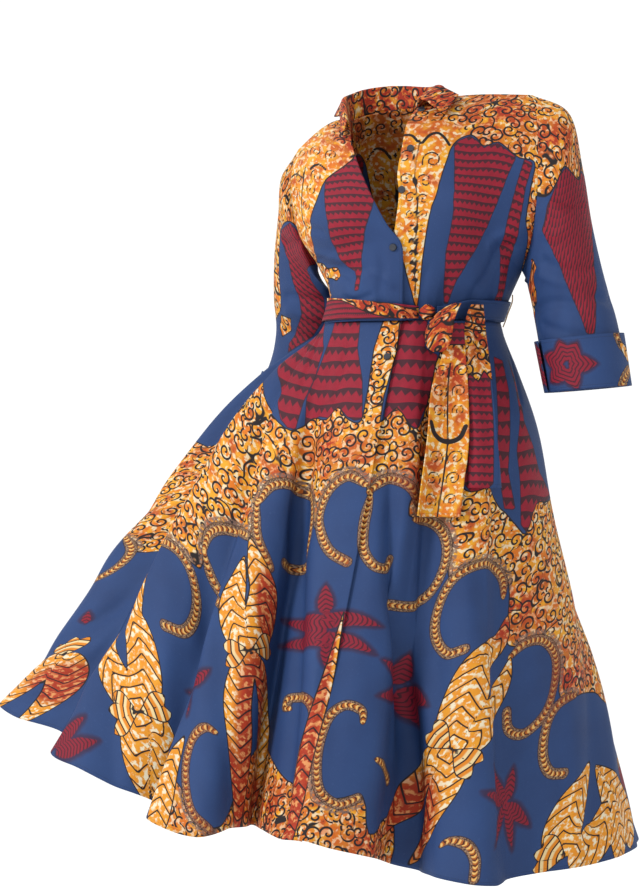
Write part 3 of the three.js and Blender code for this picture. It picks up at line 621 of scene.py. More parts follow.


# ------------------------------------------------------------------ print
#
# Everything printed is charted in millimetres of flat cloth: s from the closing line (or
# from the middle of a back, or the front of a sleeve) and h up or down from the waist seam. On a
# sleeve the charts are read by height instead, and only the texture runs along the cloth.

ORANGE = {
    "skirt": [
        [(-251, -125), (-235, -127), (-212, -148), (-182, -164), (-154, -174), (-135, -161), (-122, -146),
         (-90, -150), (-71, -133), (-53, -150), (-33, -158), (-28, -150), (-27, 0), (-3, 0), (-2, -157),
         (18, -135), (46, -164), (62, -143), (66, -40), (84, -50), (90, -85), (104, -98), (118, -130),
         (126, -180), (140, -238), (158, -252), (190, -246), (222, -272), (236, -280), (262, -300),
         (280, -312), (293, -270), (330, -268), (360, -262), (480, -240), (620, -230), (760, -250),
         (900, -240), (900, -560), (640, -590), (546, -565), (520, -549), (470, -546), (420, -548),
         (405, -505), (375, -468), (325, -470), (300, -465), (282, -400), (262, -365), (200, -352),
         (165, -372), (155, -330), (140, -300), (110, -285), (62, -285), (58, -243), (30, -235),
         (4, -250), (0, -290), (-4, -250), (-30, -238), (-62, -262), (-70, -310), (-100, -275),
         (-140, -250), (-175, -265), (-190, -300), (-192, -350), (-220, -345), (-245, -338),
         (-280, -348), (-303, -375), (-310, -410), (-325, -410), (-350, -408), (-400, -412),
         (-460, -400), (-560, -380), (-640, -370), (-640, -250), (-500, -240), (-330, -270), (-300, -215),
         (-275, -165)],
        [(1390, -236), (1390, -500), (1460, -455), (1520, -436), (1562, -440), (1600, -400), (1660, -345),
         (1760, -340), (1900, -372), (1900, -246), (1840, -226), (1770, -246), (1700, -230), (1620, -246),
         (1540, -228), (1460, -246)],
        [(-340, -770), (-330, -700), (-300, -712), (-290, -740), (-250, -752), (-215, -720), (-190, -640),
         (-150, -615), (-90, -640), (-38, -668), (-2, -640), (4, -680), (30, -690), (70, -680), (90, -730),
         (130, -712), (170, -700), (190, -770), (150, -815), (-340, -815)],
    ],
    "front_right": [
        [(0, 390), (0, 262), (-25, 238), (-60, 219), (-88, 187), (-130, 150), (-148, 122), (-180, 99),
         (-230, 99), (-230, 390)],
        [(-195, 98), (-165, 92), (-150, 82), (-122, 80), (-113, 68), (-125, 60), (-150, 66), (-160, 50),
         (-150, 40), (-185, 36), (-205, 70)],
    ],
    "front_left": [
        [(-30, 400), (-30, 143), (-12, 100), (0, 72), (12, 40), (19, 18), (23, 45), (20, 110), (24, 165),
         (36, 190), (43, 235), (47, 258), (55, 273), (68, 281), (80, 273), (92, 262), (108, 270),
         (125, 262), (145, 255), (166, 262), (175, 230), (190, 170), (205, 150), (222, 110), (236, 90),
         (260, 90), (230, 160), (200, 260), (180, 330), (160, 400)],
    ],
    "sleeve_right": [
        [(-140, 20), (-140, -172), (-90, -188), (-50, -150), (0, -131), (42, -139), (52, -175), (56, -200),
         (60, -250), (72, -262), (110, -268), (140, -250), (140, 20)],
        [(38, -268), (62, -262), (68, -280), (58, -294), (40, -286)],
    ],
    "sleeve_left": [
        [(-150, 70), (-150, -62), (-120, -78), (-100, -70), (-88, -66), (-72, -80), (-60, -70), (-50, -62),
         (-35, -72), (-15, -88), (10, -104), (60, -120), (150, -70), (150, 70)],
        [(72, -204), (104, -192), (112, -240), (106, -300), (94, -304), (86, -262), (68, -252), (66, -236),
         (82, -216)],
    ],
    "sash_right": [
        [(-5, 37), (-5, 31), (55, 29), (82, 27), (104, 19), (122, 10), (142, 4), (162, 1), (182, -4),
         (215, -6), (215, 16), (190, 14), (162, 22), (142, 24), (122, 30), (95, 35), (55, 38)],
    ],
    "tail_inner": [[(-60, -34), (60, -30), (60, -300), (-60, -300)]],
    "tail_outer": [[(-60, 10), (60, 10), (60, -100), (22, -112), (12, -98), (0, -114), (-12, -104), (-22, -118),
                    (-60, -108)]],
    "all": [[(-900, 900), (900, 900), (900, -900), (-900, -900)]],
}
RED = {
    "skirt": [
        [(-150, 5), (-124, -40), (-128, -86), (-140, -128), (-146, -170), (-158, -171), (-172, -162),
         (-184, -142), (-198, -110), (-212, -100), (-222, -88), (-206, -50), (-178, -20)],
        [(-110, 5), (-63, 5), (-58, -42), (-40, -92), (-28, -152), (-40, -154), (-53, -147), (-71, -131),
         (-84, -148), (-108, -144), (-124, -148), (-132, -168), (-136, -120), (-122, -60)],
        [(-2, 5), (36, 5), (40, -40), (62, -50), (66, -120), (50, -163), (42, -160), (18, -134), (2, -154)],
        [(106, -98), (142, -104), (163, -160), (180, -205), (184, -245), (160, -254), (146, -240),
         (134, -215), (124, -170), (113, -136)],
        [(156, -52), (176, -58), (196, -105), (210, -162), (222, -220), (252, -276), (232, -274),
         (218, -246), (200, -214), (184, -150), (170, -100)],
        [(192, -54), (224, -105), (238, -150), (270, -188), (295, -224), (352, -260), (322, -268),
         (294, -272), (282, -310), (268, -298), (248, -235), (230, -192), (226, -140), (210, -92)],
        [(1430, -5), (1480, -5), (1492, -120), (1530, -222), (1490, -236), (1450, -240), (1435, -110)],
        [(1570, -5), (1640, -5), (1655, -110), (1690, -222), (1640, -236), (1600, -230), (1580, -120)],
        [(1730, -5), (1800, -5), (1815, -120), (1836, -222), (1790, -236), (1750, -236), (1735, -150)],
        [(380, -5), (420, -5), (430, -90), (460, -180), (480, -240), (440, -225), (410, -242), (380, -220),
         (386, -120)],
        [(500, -5), (560, -5), (590, -110), (640, -225), (600, -214), (560, -232), (530, -190), (516, -90)],
        [(660, -5), (730, -5), (770, -120), (800, -238), (750, -226), (700, -240), (670, -120)],
        [(-282, -214), (-268, -222), (-262, -246), (-268, -270), (-282, -278), (-316, -278), (-332, -270),
         (-310, -240)],
        [(-330, -5), (-290, -5), (-262, -60), (-250, -118), (-285, -150), (-320, -180), (-345, -150),
         (-340, -70)],
        [(-470, -5), (-410, -5), (-390, -90), (-400, -190), (-440, -225), (-480, -200), (-500, -100)],
        [(-620, -5), (-550, -5), (-530, -110), (-545, -210), (-590, -235), (-640, -190)],
    ],
    "front_right": [
        [(5, 262), (0, 262), (-25, 239), (-50, 226), (-62, 216), (-70, 195), (-85, 150), (-101, 120),
         (-104, 104), (-94, 80), (-78, 72), (-76, 44), (-69, 44), (-65, 72), (-62, 95), (-55, 110),
         (-40, 130), (-25, 148), (-10, 168), (5, 190)],
    ],
    "front_left": [
        [(50, 262), (56, 271), (68, 279), (80, 271), (92, 260), (108, 268), (125, 260), (140, 254),
         (139, 200), (136, 175), (128, 140), (108, 113), (90, 90), (75, 60), (65, 26), (60, 26), (57, 60),
         (52, 100), (57, 150), (63, 190), (56, 230)],
        [(152, 256), (158, 200), (162, 150), (165, 100), (155, 60), (145, 20), (160, 18), (178, 60),
         (190, 100), (188, 130), (180, 170), (170, 215), (165, 258)],
    ],
    "sleeve_right": [
        [(-92, -192), (-50, -152), (0, -133), (40, -141), (45, -152), (35, -168), (26, -185), (25, -210),
         (21, -240), (16, -262), (38, -305), (36, -318), (0, -296), (-16, -270), (-22, -240), (-14, -215),
         (-20, -200)],
    ],
    "sleeve_left": [
        [(-102, -74), (-87, -68), (-72, -82), (-50, -64), (-30, -76), (-12, -92), (20, -118), (50, -152),
         (26, -178), (12, -200), (5, -230), (0, -260), (-6, -299), (-18, -299), (-26, -268), (-40, -230),
         (-52, -190), (-66, -160), (-88, -138), (-98, -110)],
    ],
    "sash_right": [[(-10, 60), (230, 60), (230, -10), (-10, -10)]],
    "tail_inner": [[(-60, 10), (60, 10), (60, -30), (-60, -34)]],
    "tail_outer": [[
        (-40, -110), (-12, -105), (0, -115), (12, -99), (20, -110), (18, -170), (14, -262), (-6, -280),
        (-40, -280),
    ]],
}
# Ropes: half width, then the points along the middle.
ROPES = {
    "skirt": [
        (6, (-408, -408), (-352, -404), (-330, -418), (-320, -448), (-326, -480), (-345, -505), (-374, -510)),
        (6, (-305, -385), (-292, -418), (-272, -440), (-248, -449), (-244, -462)),
        (6, (-305, -385), (-296, -360), (-270, -342), (-225, -338), (-208, -342)),
        (6, (-190, -290), (-174, -262), (-140, -249), (-106, -262), (-88, -300), (-94, -340), (-118, -362),
         (-146, -361)),
        (6, (-194, -290), (-190, -340), (-172, -376)),
        (6, (-4, -248), (-32, -234), (-58, -252), (-68, -290), (-58, -318), (-40, -342), (-12, -358)),
        (6, (-1, -258), (22, -236), (54, -244), (70, -262)),
        (6, (3, -262), (2, -310), (10, -345), (30, -363), (48, -360), (52, -348)),
        (6, (70, -288), (110, -288), (138, -308), (152, -345), (144, -385), (120, -406), (64, -412)),
        (6, (272, -400), (262, -374), (240, -358), (205, -354), (172, -372), (160, -420), (170, -455),
         (196, -478), (216, -474)),
        (6, (310, -486), (330, -466), (362, -464), (392, -488), (402, -530), (394, -570), (370, -592),
         (344, -585), (332, -560)),
        (6, (452, -546), (424, -552), (406, -576), (412, -622), (432, -648), (458, -652)),
        (5.5, (-246, -626), (-262, -622), (-282, -638), (-294, -672), (-292, -712), (-280, -742),
         (-256, -756)),
        (5.5, (-76, -562), (-90, -560), (-88, -550), (-60, -546), (-30, -554), (-16, -574), (-24, -620),
         (-30, -670)),
        (5.5, (52, -582), (48, -566), (26, -560), (8, -574), (0, -606), (2, -650), (14, -684), (40, -696),
         (64, -684)),
        (5.5, (80, -628), (104, -634), (134, -646), (140, -652)),
        (5.5, (272, -742), (282, -736), (304, -742), (322, -762), (330, -790)),
        (6, (560, -556), (600, -545), (640, -560), (655, -600), (640, -640), (610, -655)),
        (6, (700, -590), (690, -560), (720, -540), (760, -560), (770, -610), (750, -650), (720, -655)),
        (6, (-560, -400), (-520, -396), (-500, -420), (-505, -460), (-530, -480)),
        (6, (1520, -432), (1552, -440), (1570, -462), (1576, -492), (1566, -516)),
    ],
    "cuff": [
        (7, (-70, -52), (-48, -56), (-30, -68), (-22, -80)),
        (6, (-72, -30), (-52, -26), (-36, -18), (-30, -4)),
    ],
}
# Leaves: half width, then the middle line from root to tip.
LEAVES = {
    "skirt": [
        (30, (-424, -636), (-414, -593), (-418, -551), (-436, -515), (-428, -484), (-412, -440)),
        (27, (-424, -636), (-451, -620), (-478, -596), (-492, -570), (-500, -530)),
        (24, (-424, -636), (-433, -676), (-431, -710), (-417, -748)),
        (22, (-424, -636), (-398, -643), (-389, -663), (-396, -689), (-411, -735)),
        (25, (-200, -500), (-182, -457), (-177, -417), (-188, -384), (-202, -343)),
        (25, (-200, -500), (-219, -479), (-228, -446), (-219, -409), (-209, -372)),
        (21, (-199, -503), (-212, -539), (-217, -575), (-210, -624), (-190, -760)),
        (21, (-198, -503), (-175, -533), (-158, -584), (-150, -640), (-168, -760)),
        (32, (244, -611), (238, -574), (241, -534), (250, -493), (285, -462), (288, -425)),
        (25, (244, -611), (267, -598), (280, -575), (298, -547), (311, -519), (313, -484)),
        (24, (244, -611), (214, -626), (196, -659), (180, -691), (144, -732)),
        (25, (244, -611), (250, -648), (243, -682), (232, -720), (209, -765)),
        (33, (500, -765), (484, -735), (486, -706), (500, -672), (516, -640)),
        (32, (502, -764), (532, -760), (556, -742), (564, -716), (566, -680)),
        (26, (653, -772), (642, -738), (589, -692), (530, -648)),
        (26, (612, -790), (604, -748), (576, -704), (530, -650)),
        (13, (-24, -785), (-18, -640), (-8, -540), (-3, -430)),
        (20, (-340, -790), (-334, -740), (-322, -690), (-300, -640)),
        (24, (1716, -612), (1722, -645), (1752, -690), (1780, -745)),
        (24, (1722, -612), (1790, -655), (1822, -700), (1842, -750)),
    ],
    "cuff": [(9, (-64, -40), (-30, -12))],
}
PETALS = {
    "skirt": [
        (10, (-424, -636), (-477, -652)), (10, (-424, -636), (-467, -677)), (10, (-424, -636), (-470, -628)),
        (10, (-424, -636), (-383, -600)), (10, (-424, -636), (-374, -618)),
        (10, (-200, -500), (-241, -504)), (10, (-200, -500), (-235, -530)),
        (10, (-200, -500), (-163, -469)), (10, (-200, -500), (-155, -488)),
        (10, (244, -611), (206, -569)), (10, (244, -611), (197, -589)),
        (10, (244, -611), (290, -629)), (10, (244, -611), (280, -653)),
        (11, (1722, -622), (1680, -612)), (11, (1722, -622), (1682, -590)), (11, (1722, -622), (1702, -578)),
        (10, (500, -765), (455, -735)), (10, (500, -765), (446, -757)), (10, (500, -765), (452, -780)),
    ],
}
# Dark red motifs, drawn in the same way.
MOTHS = {
    "skirt": [
        (13, (2, -444), (-70, -444), (-138, -437)), (13, (2, -468), (-70, -468), (-136, -474)),
        (13, (-44, -444), (14, -440), (56, -446)), (13, (-44, -470), (14, -472), (54, -486)),
        (12, (-26, -432), (-32, -410), (-36, -388)), (9, (-18, -474), (-12, -512)),
        (12, (134, -520), (92, -502), (60, -490)), (13, (138, -517), (130, -472)),
        (12, (131, -529), (63, -542)), (13, (141, -524), (190, -549)), (12, (141, -530), (176, -577)),
        (10, (376, -686), (344, -660), (312, -632)), (10, (376, -682), (370, -634)),
        (10, (370, -687), (301, -672)), (11, (376, -686), (428, -720)),
        (10, (374, -688), (348, -748)), (9, (377, -689), (409, -752)),
        (12, (-580, -735), (-512, -675)), (12, (-571, -742), (-489, -695)), (10, (-582, -742), (-612, -720)),
        (8, (-278, -562), (-300, -568), (-348, -580)), (9, (-290, -568), (-258, -540)),
        (3.5, (-300, -614), (-294, -580)),
        (8, (1662, -566), (1640, -548)),
        (14, (646, -690), (600, -650)), (14, (648, -692), (706, -676)), (13, (646, -700), (600, -734)),
        (14, (822, -602), (786, -556)), (14, (824, -604), (884, -606)), (13, (820, -610), (778, -644)),
    ],
    "cuff": [
        (15, (52, -38), (10, -42)), (15, (52, -34), (34, -8)), (16, (56, -34), (62, -2)),
        (16, (60, -38), (96, -22)), (16, (58, -42), (92, -62)), (15, (54, -44), (44, -76)),
    ],
}
# Drawn lines: half width, then the points.
LINES = {
    "front_left": [
        (2.2, (3, 258), (12, 272), (22, 277), (32, 272), (43, 260)), (2, (-26, 271), (-14, 270), (-4, 260)),
        (1.3, (-2, 262), (0, 200), (6, 130), (12, 80), (18, 30)),
    ],
    "front_right": [
        (2.2, (-88, 240), (-76, 246), (-66, 246), (-56, 236)), (2, (-150, 244), (-132, 242), (-112, 228)),
        (1.3, (-100, 246), (-116, 214), (-140, 170), (-160, 130)),
    ],
    "tail_inner": [(3.5, (-28, -150), (-20, -166), (-2, -174), (16, -168), (24, -152)),
                   (1.3, (-4, -60), (-2, -140), (0, -200), (-2, -284))],
    "tail_outer": [(1.6, (-22, -6), (22, -8)), (1.5, (-22, -16), (22, -18)), (1.4, (-22, -26), (22, -29)),
                   (1.3, (-20, -36), (22, -38))],
    "sleeve_right": [(2, (20, -100), (36, -92), (52, -104))],
    "skirt": [(2.2, (-262, -168), (-244, -186), (-226, -182), (-212, -166))],
}
# Spiral curls: centre, radius, and the side on which they open.
CURLS = {
    "front_left": [(22, 232, 15, 1), (-17, 236, 12, -1), (15, 200, 12, 1), (-13, 202, 11, -1), (11, 174, 9, 1),
                   (-9, 176, 9, -1), (12, 152, 8, 1), (-6, 152, 8, -1), (12, 132, 7, 1), (-3, 132, 7, -1),
                   (13, 114, 6, 1), (1, 114, 6, -1), (14, 98, 5, 1), (4, 98, 5, -1), (15, 84, 4.5, 1),
                   (6, 84, 4.5, -1), (16, 71, 4, 1), (9, 71, 4, -1), (17, 59, 3, 1), (12, 59, 3, -1)],
    "front_right": [(-78, 226, 13, 1), (-122, 232, 15, -1), (-96, 204, 12, 1), (-142, 208, 14, -1),
                    (-118, 180, 11, 1), (-160, 182, 13, -1), (-140, 152, 9, 1), (-174, 150, 11, -1),
                    (-70, 274, 15, 1), (-104, 280, 14, -1), (-40, 262, 12, 1), (-70, 322, 13, -1)],
    "tail_inner": [(14, -70, 12, 1), (-16, -74, 12, -1), (14, -100, 11, 1), (-16, -104, 12, -1),
                   (14, -128, 10, 1), (-16, -132, 11, -1), (14, -196, 12, 1), (-16, -198, 12, -1),
                   (14, -226, 11, 1), (-16, -228, 12, -1), (14, -256, 10, 1), (-16, -258, 11, -1)],
}
# Patches where the dye is a deep red-orange: centre, reach across and reach along.
DEEP = {
    "skirt": [
        (-172, -430, 22, 60), (-188, -590, 34, 110), (-180, -700, 60, 60), (-90, -700, 70, 45),
        (-70, -190, 60, 34), (200, -700, 56, 70), (110, -740, 70, 40), (430, -520, 110, 50),
        (-18, -590, 18, 150), (-160, -470, 14, 90), (-240, -700, 60, 80), (1790, -650, 60, 50),
        (-14, -480, 10, 130), (-22, -700, 22, 160), (300, -420, 60, 50), (70, -220, 40, 70),
    ],
    "front_right": [(0, 300, 44, 70)],
    "front_left": [(-20, 340, 60, 60), (90, 330, 80, 60), (220, 140, 30, 50)],
    "all": [(0, 0, 900, 900)],
    "sash_right": [(110, 10, 300, 60)],
    "tail_inner": [(0, -60, 80, 60)],
    "tail_outer": [(0, -40, 80, 46)],
    "sleeve_left": [(-60, -20, 90, 40), (96, -240, 40, 60)],
}


def polygon_depth(s, h, corners):
    """Signed distance to a closed outline, positive inside it."""
    best = np.full(s.shape, 1e9)
    inside = np.zeros(s.shape, bool)
    for (x0, y0), (x1, y1) in zip(corners, corners[1:] + corners[:1]):
        dx, dy = x1 - x0, y1 - y0
        t = clamp(((s - x0) * dx + (h - y0) * dy) / (dx * dx + dy * dy))
        best = np.minimum(best, np.hypot(s - x0 - t * dx, h - y0 - t * dy))
        if y0 != y1:
            cross = (y0 > h) != (y1 > h)
            inside ^= cross & (s < x0 + (h - y0) * dx / dy)
    return np.where(inside, best, -best)


def rounded(points, steps=6):
    """A list of points with a smooth curve drawn through them."""
    curve = through([(x, y, 0) for x, y in points])
    return [tuple(q[:2]) for q in curve(np.linspace(0, 1, (len(points) - 1) * steps + 1))]


def stroke(s, h, points):
    """Distance to a drawn line, with the place along it."""
    best = np.full(s.shape, 1e9)
    along = np.zeros(s.shape)
    done = 0.0
    for (x0, y0), (x1, y1) in zip(points, points[1:]):
        dx, dy = x1 - x0, y1 - y0
        size = math.hypot(dx, dy)
        t = clamp(((s - x0) * dx + (h - y0) * dy) / (size * size))
        d = np.hypot(s - x0 - t * dx, h - y0 - t * dy)
        near = d < best
        best = np.where(near, d, best)
        along = np.where(near, done + t * size, along)
        done += size
    return best, along


def leaves(s, h, rows, lean, peak=0.62):
    """Signed depth into a set of leaves, negative inside, with the vein place and the depth there."""
    depth = np.full(s.shape, 1e3)
    second = np.full(s.shape, 1e3)
    vein = np.zeros(s.shape)
    for half, *points in rows:
        line = rounded(points) if len(points) > 2 else points
        size = sum(math.dist(a, b) for a, b in zip(line, line[1:]))
        across, along = stroke(s, h, line)
        body = half * np.sin(math.pi * clamp(along / size) ** peak) ** 0.75
        d = across - body
        near = d < depth
        second = np.where(near, depth, np.minimum(second, d))
        depth = np.where(near, d, depth)
        vein = np.where(near, along + lean * across, vein)
    return depth, vein, np.clip(second - depth, 0, 60)


def curl(x, y, radius, side):
    """Points of a spiral that opens to one side."""
    turn = np.linspace(0, 1, 26)
    angle = math.pi / 2 + side * (turn * 1.35 * PI2)
    r = radius * (0.18 + 0.82 * turn)
    points = [(x + a * math.cos(b), y + a * math.sin(b)) for a, b in zip(r, angle)]
    return points


def deepest(values, s, h):
    best = np.full(s.shape, -1e3)
    for corners in values:
        best = np.maximum(best, polygon_depth(s, h, corners))
    return best


SIGNED = ("orange", "red", "rope", "leaf", "petal", "moth", "ink")
CHARTS = {
    "bodice_front_right": "front_right", "bodice_front_left": "front_left", "bodice_back": "front_left",
    "sleeve_right": "sleeve_right", "sleeve_left": "sleeve_left", "cuff_right": "cuff", "cuff_left": "cuff",
    "skirt_front_right": "skirt", "skirt_front_left": "skirt", "skirt_back_left": "skirt",
    "skirt_back_right": "skirt", "collar": "all", "sash_right": "sash_right", "sash_left": "plain",
    "sash_back": "plain", "sash_tail_inner": "tail_inner", "sash_tail_outer": "tail_outer", "sash_loop": "all",
}


def print_fields(name, s, h):
    chart = CHARTS[name]
    place = (s, h)
    if name == "bodice_back":
        s = np.abs(s)
    if name == "skirt_back_right":
        s = s + 1000.0 * (s > 400)
    if name in SLEEVE_REPEAT:
        s = repeated(s, SLEEVE_REPEAT[name])
    if name == "cuff_right":
        s = -s
    if chart == "cuff":
        s = np.mod(s + 75, 175) - 75
    fields = {
        "orange": deepest([rounded(c + c[:1], 3)[:-1] if len(c) > 8 else c
                           for c in ORANGE.get(chart, [])], s, h),
        "red": deepest(RED.get(chart, []), s, h),
    }
    rope = np.full(s.shape, 1e3)
    rope_v, rope_o = np.zeros(s.shape), np.zeros(s.shape)
    for half, *points in ROPES.get(chart, []):
        d, along = stroke(s, h, rounded(points))
        half = half + 1.2
        taper = half * (1 - 0.35 * (along < 1)) * np.minimum(1, 0.55 + along / 50)
        near = d - taper < rope
        rope_v = np.where(near, along + 0.9 * d, rope_v)
        rope_o = np.where(near, d, rope_o)
        rope = np.where(near, d - taper, rope)
    fields["rope"], fields["rope_v"], fields["rope_o"] = rope, rope_v, rope_o
    fields["leaf"], fields["leaf_v"], fields["leaf_e"] = leaves(s, h, LEAVES.get(chart, []), 0.9)
    fields["petal"], fields["petal_v"], fields["petal_e"] = leaves(s, h, PETALS.get(chart, []), 0.0, 1.8)
    fields["moth"], fields["moth_v"], _ = leaves(s, h, MOTHS.get(chart, []), 0.8)
    ink = np.full(s.shape, 1e3)
    for half, *points in LINES.get(chart, []):
        ink = np.minimum(ink, stroke(s, h, rounded(points))[0] - half)
    for x, y, radius, side in CURLS.get(chart, []):
        ink = np.minimum(ink, stroke(s, h, curl(x, y, radius, side))[0] - 0.55 - 0.045 * radius)
    fields["ink"] = ink
    deep = np.zeros(s.shape)
    for x, y, wide, tall in DEEP.get(chart, []):
        deep = np.maximum(deep, bell((s - x) / wide) * bell((h - y) / tall))
    fields["deep"] = deep
    fields["s"], fields["h"] = place
    return {key: np.clip(value, -60, 1000) if key in SIGNED else value
            for key, value in fields.items()}


# ------------------------------------------------------------------ materials


def rgb(code):
    parts = [int(code[k : k + 2], 16) / 255 for k in (0, 2, 4)]
    return tuple((x / 12.92 if x < 0.04045 else ((x + 0.055) / 1.055) ** 2.4) for x in parts) + (1.0,)


class Net:
    """A material's node tree, with short names for the nodes used here."""

    def __init__(self, name):
        self.material = bpy.data.materials.new(name)
        self.material.use_nodes = True
        self.tree = self.material.node_tree
        self.shader = self.tree.nodes["Principled BSDF"]

    def put(self, kind, **inputs):
        node = self.tree.nodes.new(kind)
        for key, value in inputs.items():
            self.feed(node.inputs[int(key[1:])], value)
        return node

    def feed(self, socket, value):
        if isinstance(value, bpy.types.NodeSocket):
            self.tree.links.new(value, socket)
        else:
            socket.default_value = value

    def attr(self, name):
        node = self.put("ShaderNodeAttribute")
        node.attribute_name = name
        return node.outputs["Fac"]

    def m(self, operation, a, b=0.0):
        node = self.put("ShaderNodeMath", _0=a, _1=b)
        node.operation = operation
        return node.outputs[0]

    def mul(self, a, b):
        return self.m("MULTIPLY", a, b)

    def rest(self, x):
        """1 less x."""
        return self.m("SUBTRACT", 1.0, x)

    def cycle(self, x, size):
        """0 to 1 over every length of this size."""
        return self.m("FRACT", self.m("DIVIDE", x, size))

    def step(self, x, edge, soft):
        """0 below the edge and 1 above it."""
        node = self.put("ShaderNodeMapRange", _0=x)
        node.interpolation_type = "SMOOTHSTEP"
        node.inputs[1].default_value = edge - soft
        node.inputs[2].default_value = edge + soft
        return node.outputs[0]

    def blend(self, factor, a, b):
        node = self.put("ShaderNodeMix")
        node.data_type = "RGBA"
        for key, value in ((0, factor), (6, a), (7, b)):
            self.feed(node.inputs[key], value)
        return node.outputs[2]

    def noise(self, vector, scale, detail):
        node = self.put("ShaderNodeTexNoise")
        self.feed(node.inputs["Vector"], vector)
        node.inputs["Scale"].default_value = scale
        node.inputs["Detail"].default_value = detail
        return node.outputs[0]

    def cells(self, vector, scale):
        node = self.put("ShaderNodeTexVoronoi")
        self.feed(node.inputs["Vector"], vector)
        node.inputs["Scale"].default_value = scale
        node.inputs["Randomness"].default_value = 0.85
        return node

    def vec(self, x, y, z=0.0):
        return self.put("ShaderNodeCombineXYZ", _0=x, _1=y, _2=z).outputs[0]

    def split(self, vector):
        return self.put("ShaderNodeSeparateXYZ", _0=vector).outputs

    def near(self, x, middle, half, soft):
        """1 within half of the middle."""
        gap = self.m("ABSOLUTE", self.m("SUBTRACT", x, middle))
        return self.rest(self.step(gap, half, soft))


DARK = rgb("1B0F12")
SCROLL_SCALE = 0.043  # scroll cells for each millimetre


def printed_cloth(name, row, tooth):
    """Wax printed cotton. row and tooth are the size of the toothed rows in the red."""
    n = Net(name)
    s, h = n.attr("s"), n.attr("h")
    flat = n.vec(s, h)
    wobble = n.mul(n.m("SUBTRACT", n.noise(flat, 0.11, 3), 0.5), 3.0)
    mottle = n.noise(flat, 0.085, 3)

    blue = n.blend(n.noise(flat, 0.012, 3), rgb("1D3768"), rgb("2A4E88"))
    veil = n.step(n.noise(flat, 0.35, 4), 0.66, 0.05)
    blue = n.blend(n.mul(veil, 0.14), blue, rgb("5B78AC"))

    # Red with rows of dark teeth.
    bow = n.mul(n.noise(flat, 0.02, 1), 0.5)
    fall = n.m("FRACT", n.m("ADD", n.m("DIVIDE", n.mul(h, -1.0), row), bow))
    saw = n.m("ABSOLUTE", n.m("SUBTRACT", n.mul(n.cycle(s, tooth), 2.0), 1.0))
    limit = n.m("ADD", n.mul(saw, 0.36), 0.2)
    past = n.step(n.m("SUBTRACT", fall, limit), 0.0, 0.05)
    red = n.blend(mottle, rgb("860A26"), rgb("B01232"))
    toothed = n.blend(n.mul(past, n.step(n.m("SUBTRACT", 0.99, fall), 0.0, 0.02)), rgb("4A1626"), red)
    red_at = n.m("ADD", n.attr("red"), n.mul(wobble, 0.4))
    colour = n.blend(n.step(red_at, 0.0, 0.5), blue, toothed)
    colour = n.blend(n.mul(n.near(red_at, 0.0, 0.7, 0.5), 0.8), colour, rgb("2A1426"))

    # Orange ground: cream and yellow patches, deep red-orange where the second dye lies over it.
    patch = n.step(n.noise(flat, 0.13, 3), 0.55, 0.04)
    gold = n.blend(n.step(n.noise(flat, 0.06, 3), 0.5, 0.12), rgb("EC7E10"), rgb("FDB224"))
    gold = n.blend(n.mul(patch, 0.85), gold, rgb("FFF0C8"))
    heat = n.mul(n.attr("deep"), n.step(n.noise(flat, 0.045, 3), 0.45, 0.06))
    flame = n.blend(patch, rgb("B52C0C"), rgb("EE7A28"))
    ember = n.mul(n.step(n.noise(flat, 0.028, 3), 0.6, 0.05), 0.7)
    scroll = n.blend(n.m("MAXIMUM", heat, ember), gold, flame)

    # Scrolls: a spiral in every cell, and long bowed lines between them.
    grains = n.cells(flat, SCROLL_SCALE)
    local = n.put("ShaderNodeVectorMath", _0=flat, _1=grains.outputs["Position"])
    local.operation = "SUBTRACT"
    local = n.put("ShaderNodeVectorMath", _0=local.outputs[0], _1=(SCROLL_SCALE,) * 3)
    local.operation = "MULTIPLY"
    lx, ly, _ = n.split(local.outputs[0])
    pick = n.split(grains.outputs["Color"])
    side = n.m("SUBTRACT", n.mul(n.m("GREATER_THAN", pick[0], 0.5), 2.0), 1.0)
    angle = n.m("ARCTAN2", ly, n.mul(lx, side))
    radius = n.m("SQRT", n.m("ADD", n.mul(lx, lx), n.mul(ly, ly)))
    turn = n.m("ADD", n.mul(radius, 2.6), n.m("ADD", n.m("DIVIDE", angle, PI2), pick[1]))
    ring = n.near(n.m("FRACT", turn), 0.5, 0.17, 0.05)
    ring = n.mul(ring, n.rest(n.step(radius, 0.52, 0.02)))
    drift = n.noise(flat, 0.02, 1)
    band = n.m("FRACT", n.mul(drift, 3.6))
    line = n.near(band, 0.5, 0.055, 0.02)
    line = n.mul(line, n.step(radius, 0.36, 0.02))
    drawn = n.mul(n.rest(n.step(n.attr("ink"), 22.0, 3.0)), n.attr("inked"))
    free = n.rest(drawn)
    marks = n.mul(n.m("MAXIMUM", ring, line), free)
    scroll = n.blend(marks, scroll, DARK)
    hatch = n.mul(n.near(n.attr("rope"), 3.5, 3.5, 1.2), n.step(n.noise(flat, 0.3, 3), 0.45, 0.05))
    scroll = n.blend(n.mul(hatch, 0.85), scroll, rgb("8A6A5C"))
    orange_at = n.m("ADD", n.attr("orange"), n.mul(wobble, 0.4))
    colour = n.blend(n.step(orange_at, 0.0, 0.5), colour, scroll)
    colour = n.blend(n.near(orange_at, 0.0, 0.9, 0.5), colour, DARK)
    colour = n.blend(n.rest(n.step(n.attr("ink"), 0.0, 0.4)), colour, DARK)

    # Dark red moths with a purple bloom round them.
    moth = n.m("ADD", n.attr("moth"), wobble)
    bloom = n.rest(n.step(moth, 2.5, 3.5))
    colour = n.blend(n.mul(bloom, 0.75), colour, rgb("3A1030"))
    scale = n.step(n.cycle(n.attr("moth_v"), 7.0), 0.35, 0.12)
    wing = n.blend(scale, rgb("4E0C24"), rgb("93102E"))
    colour = n.blend(n.rest(n.step(moth, -2.0, 1.0)), colour, wing)

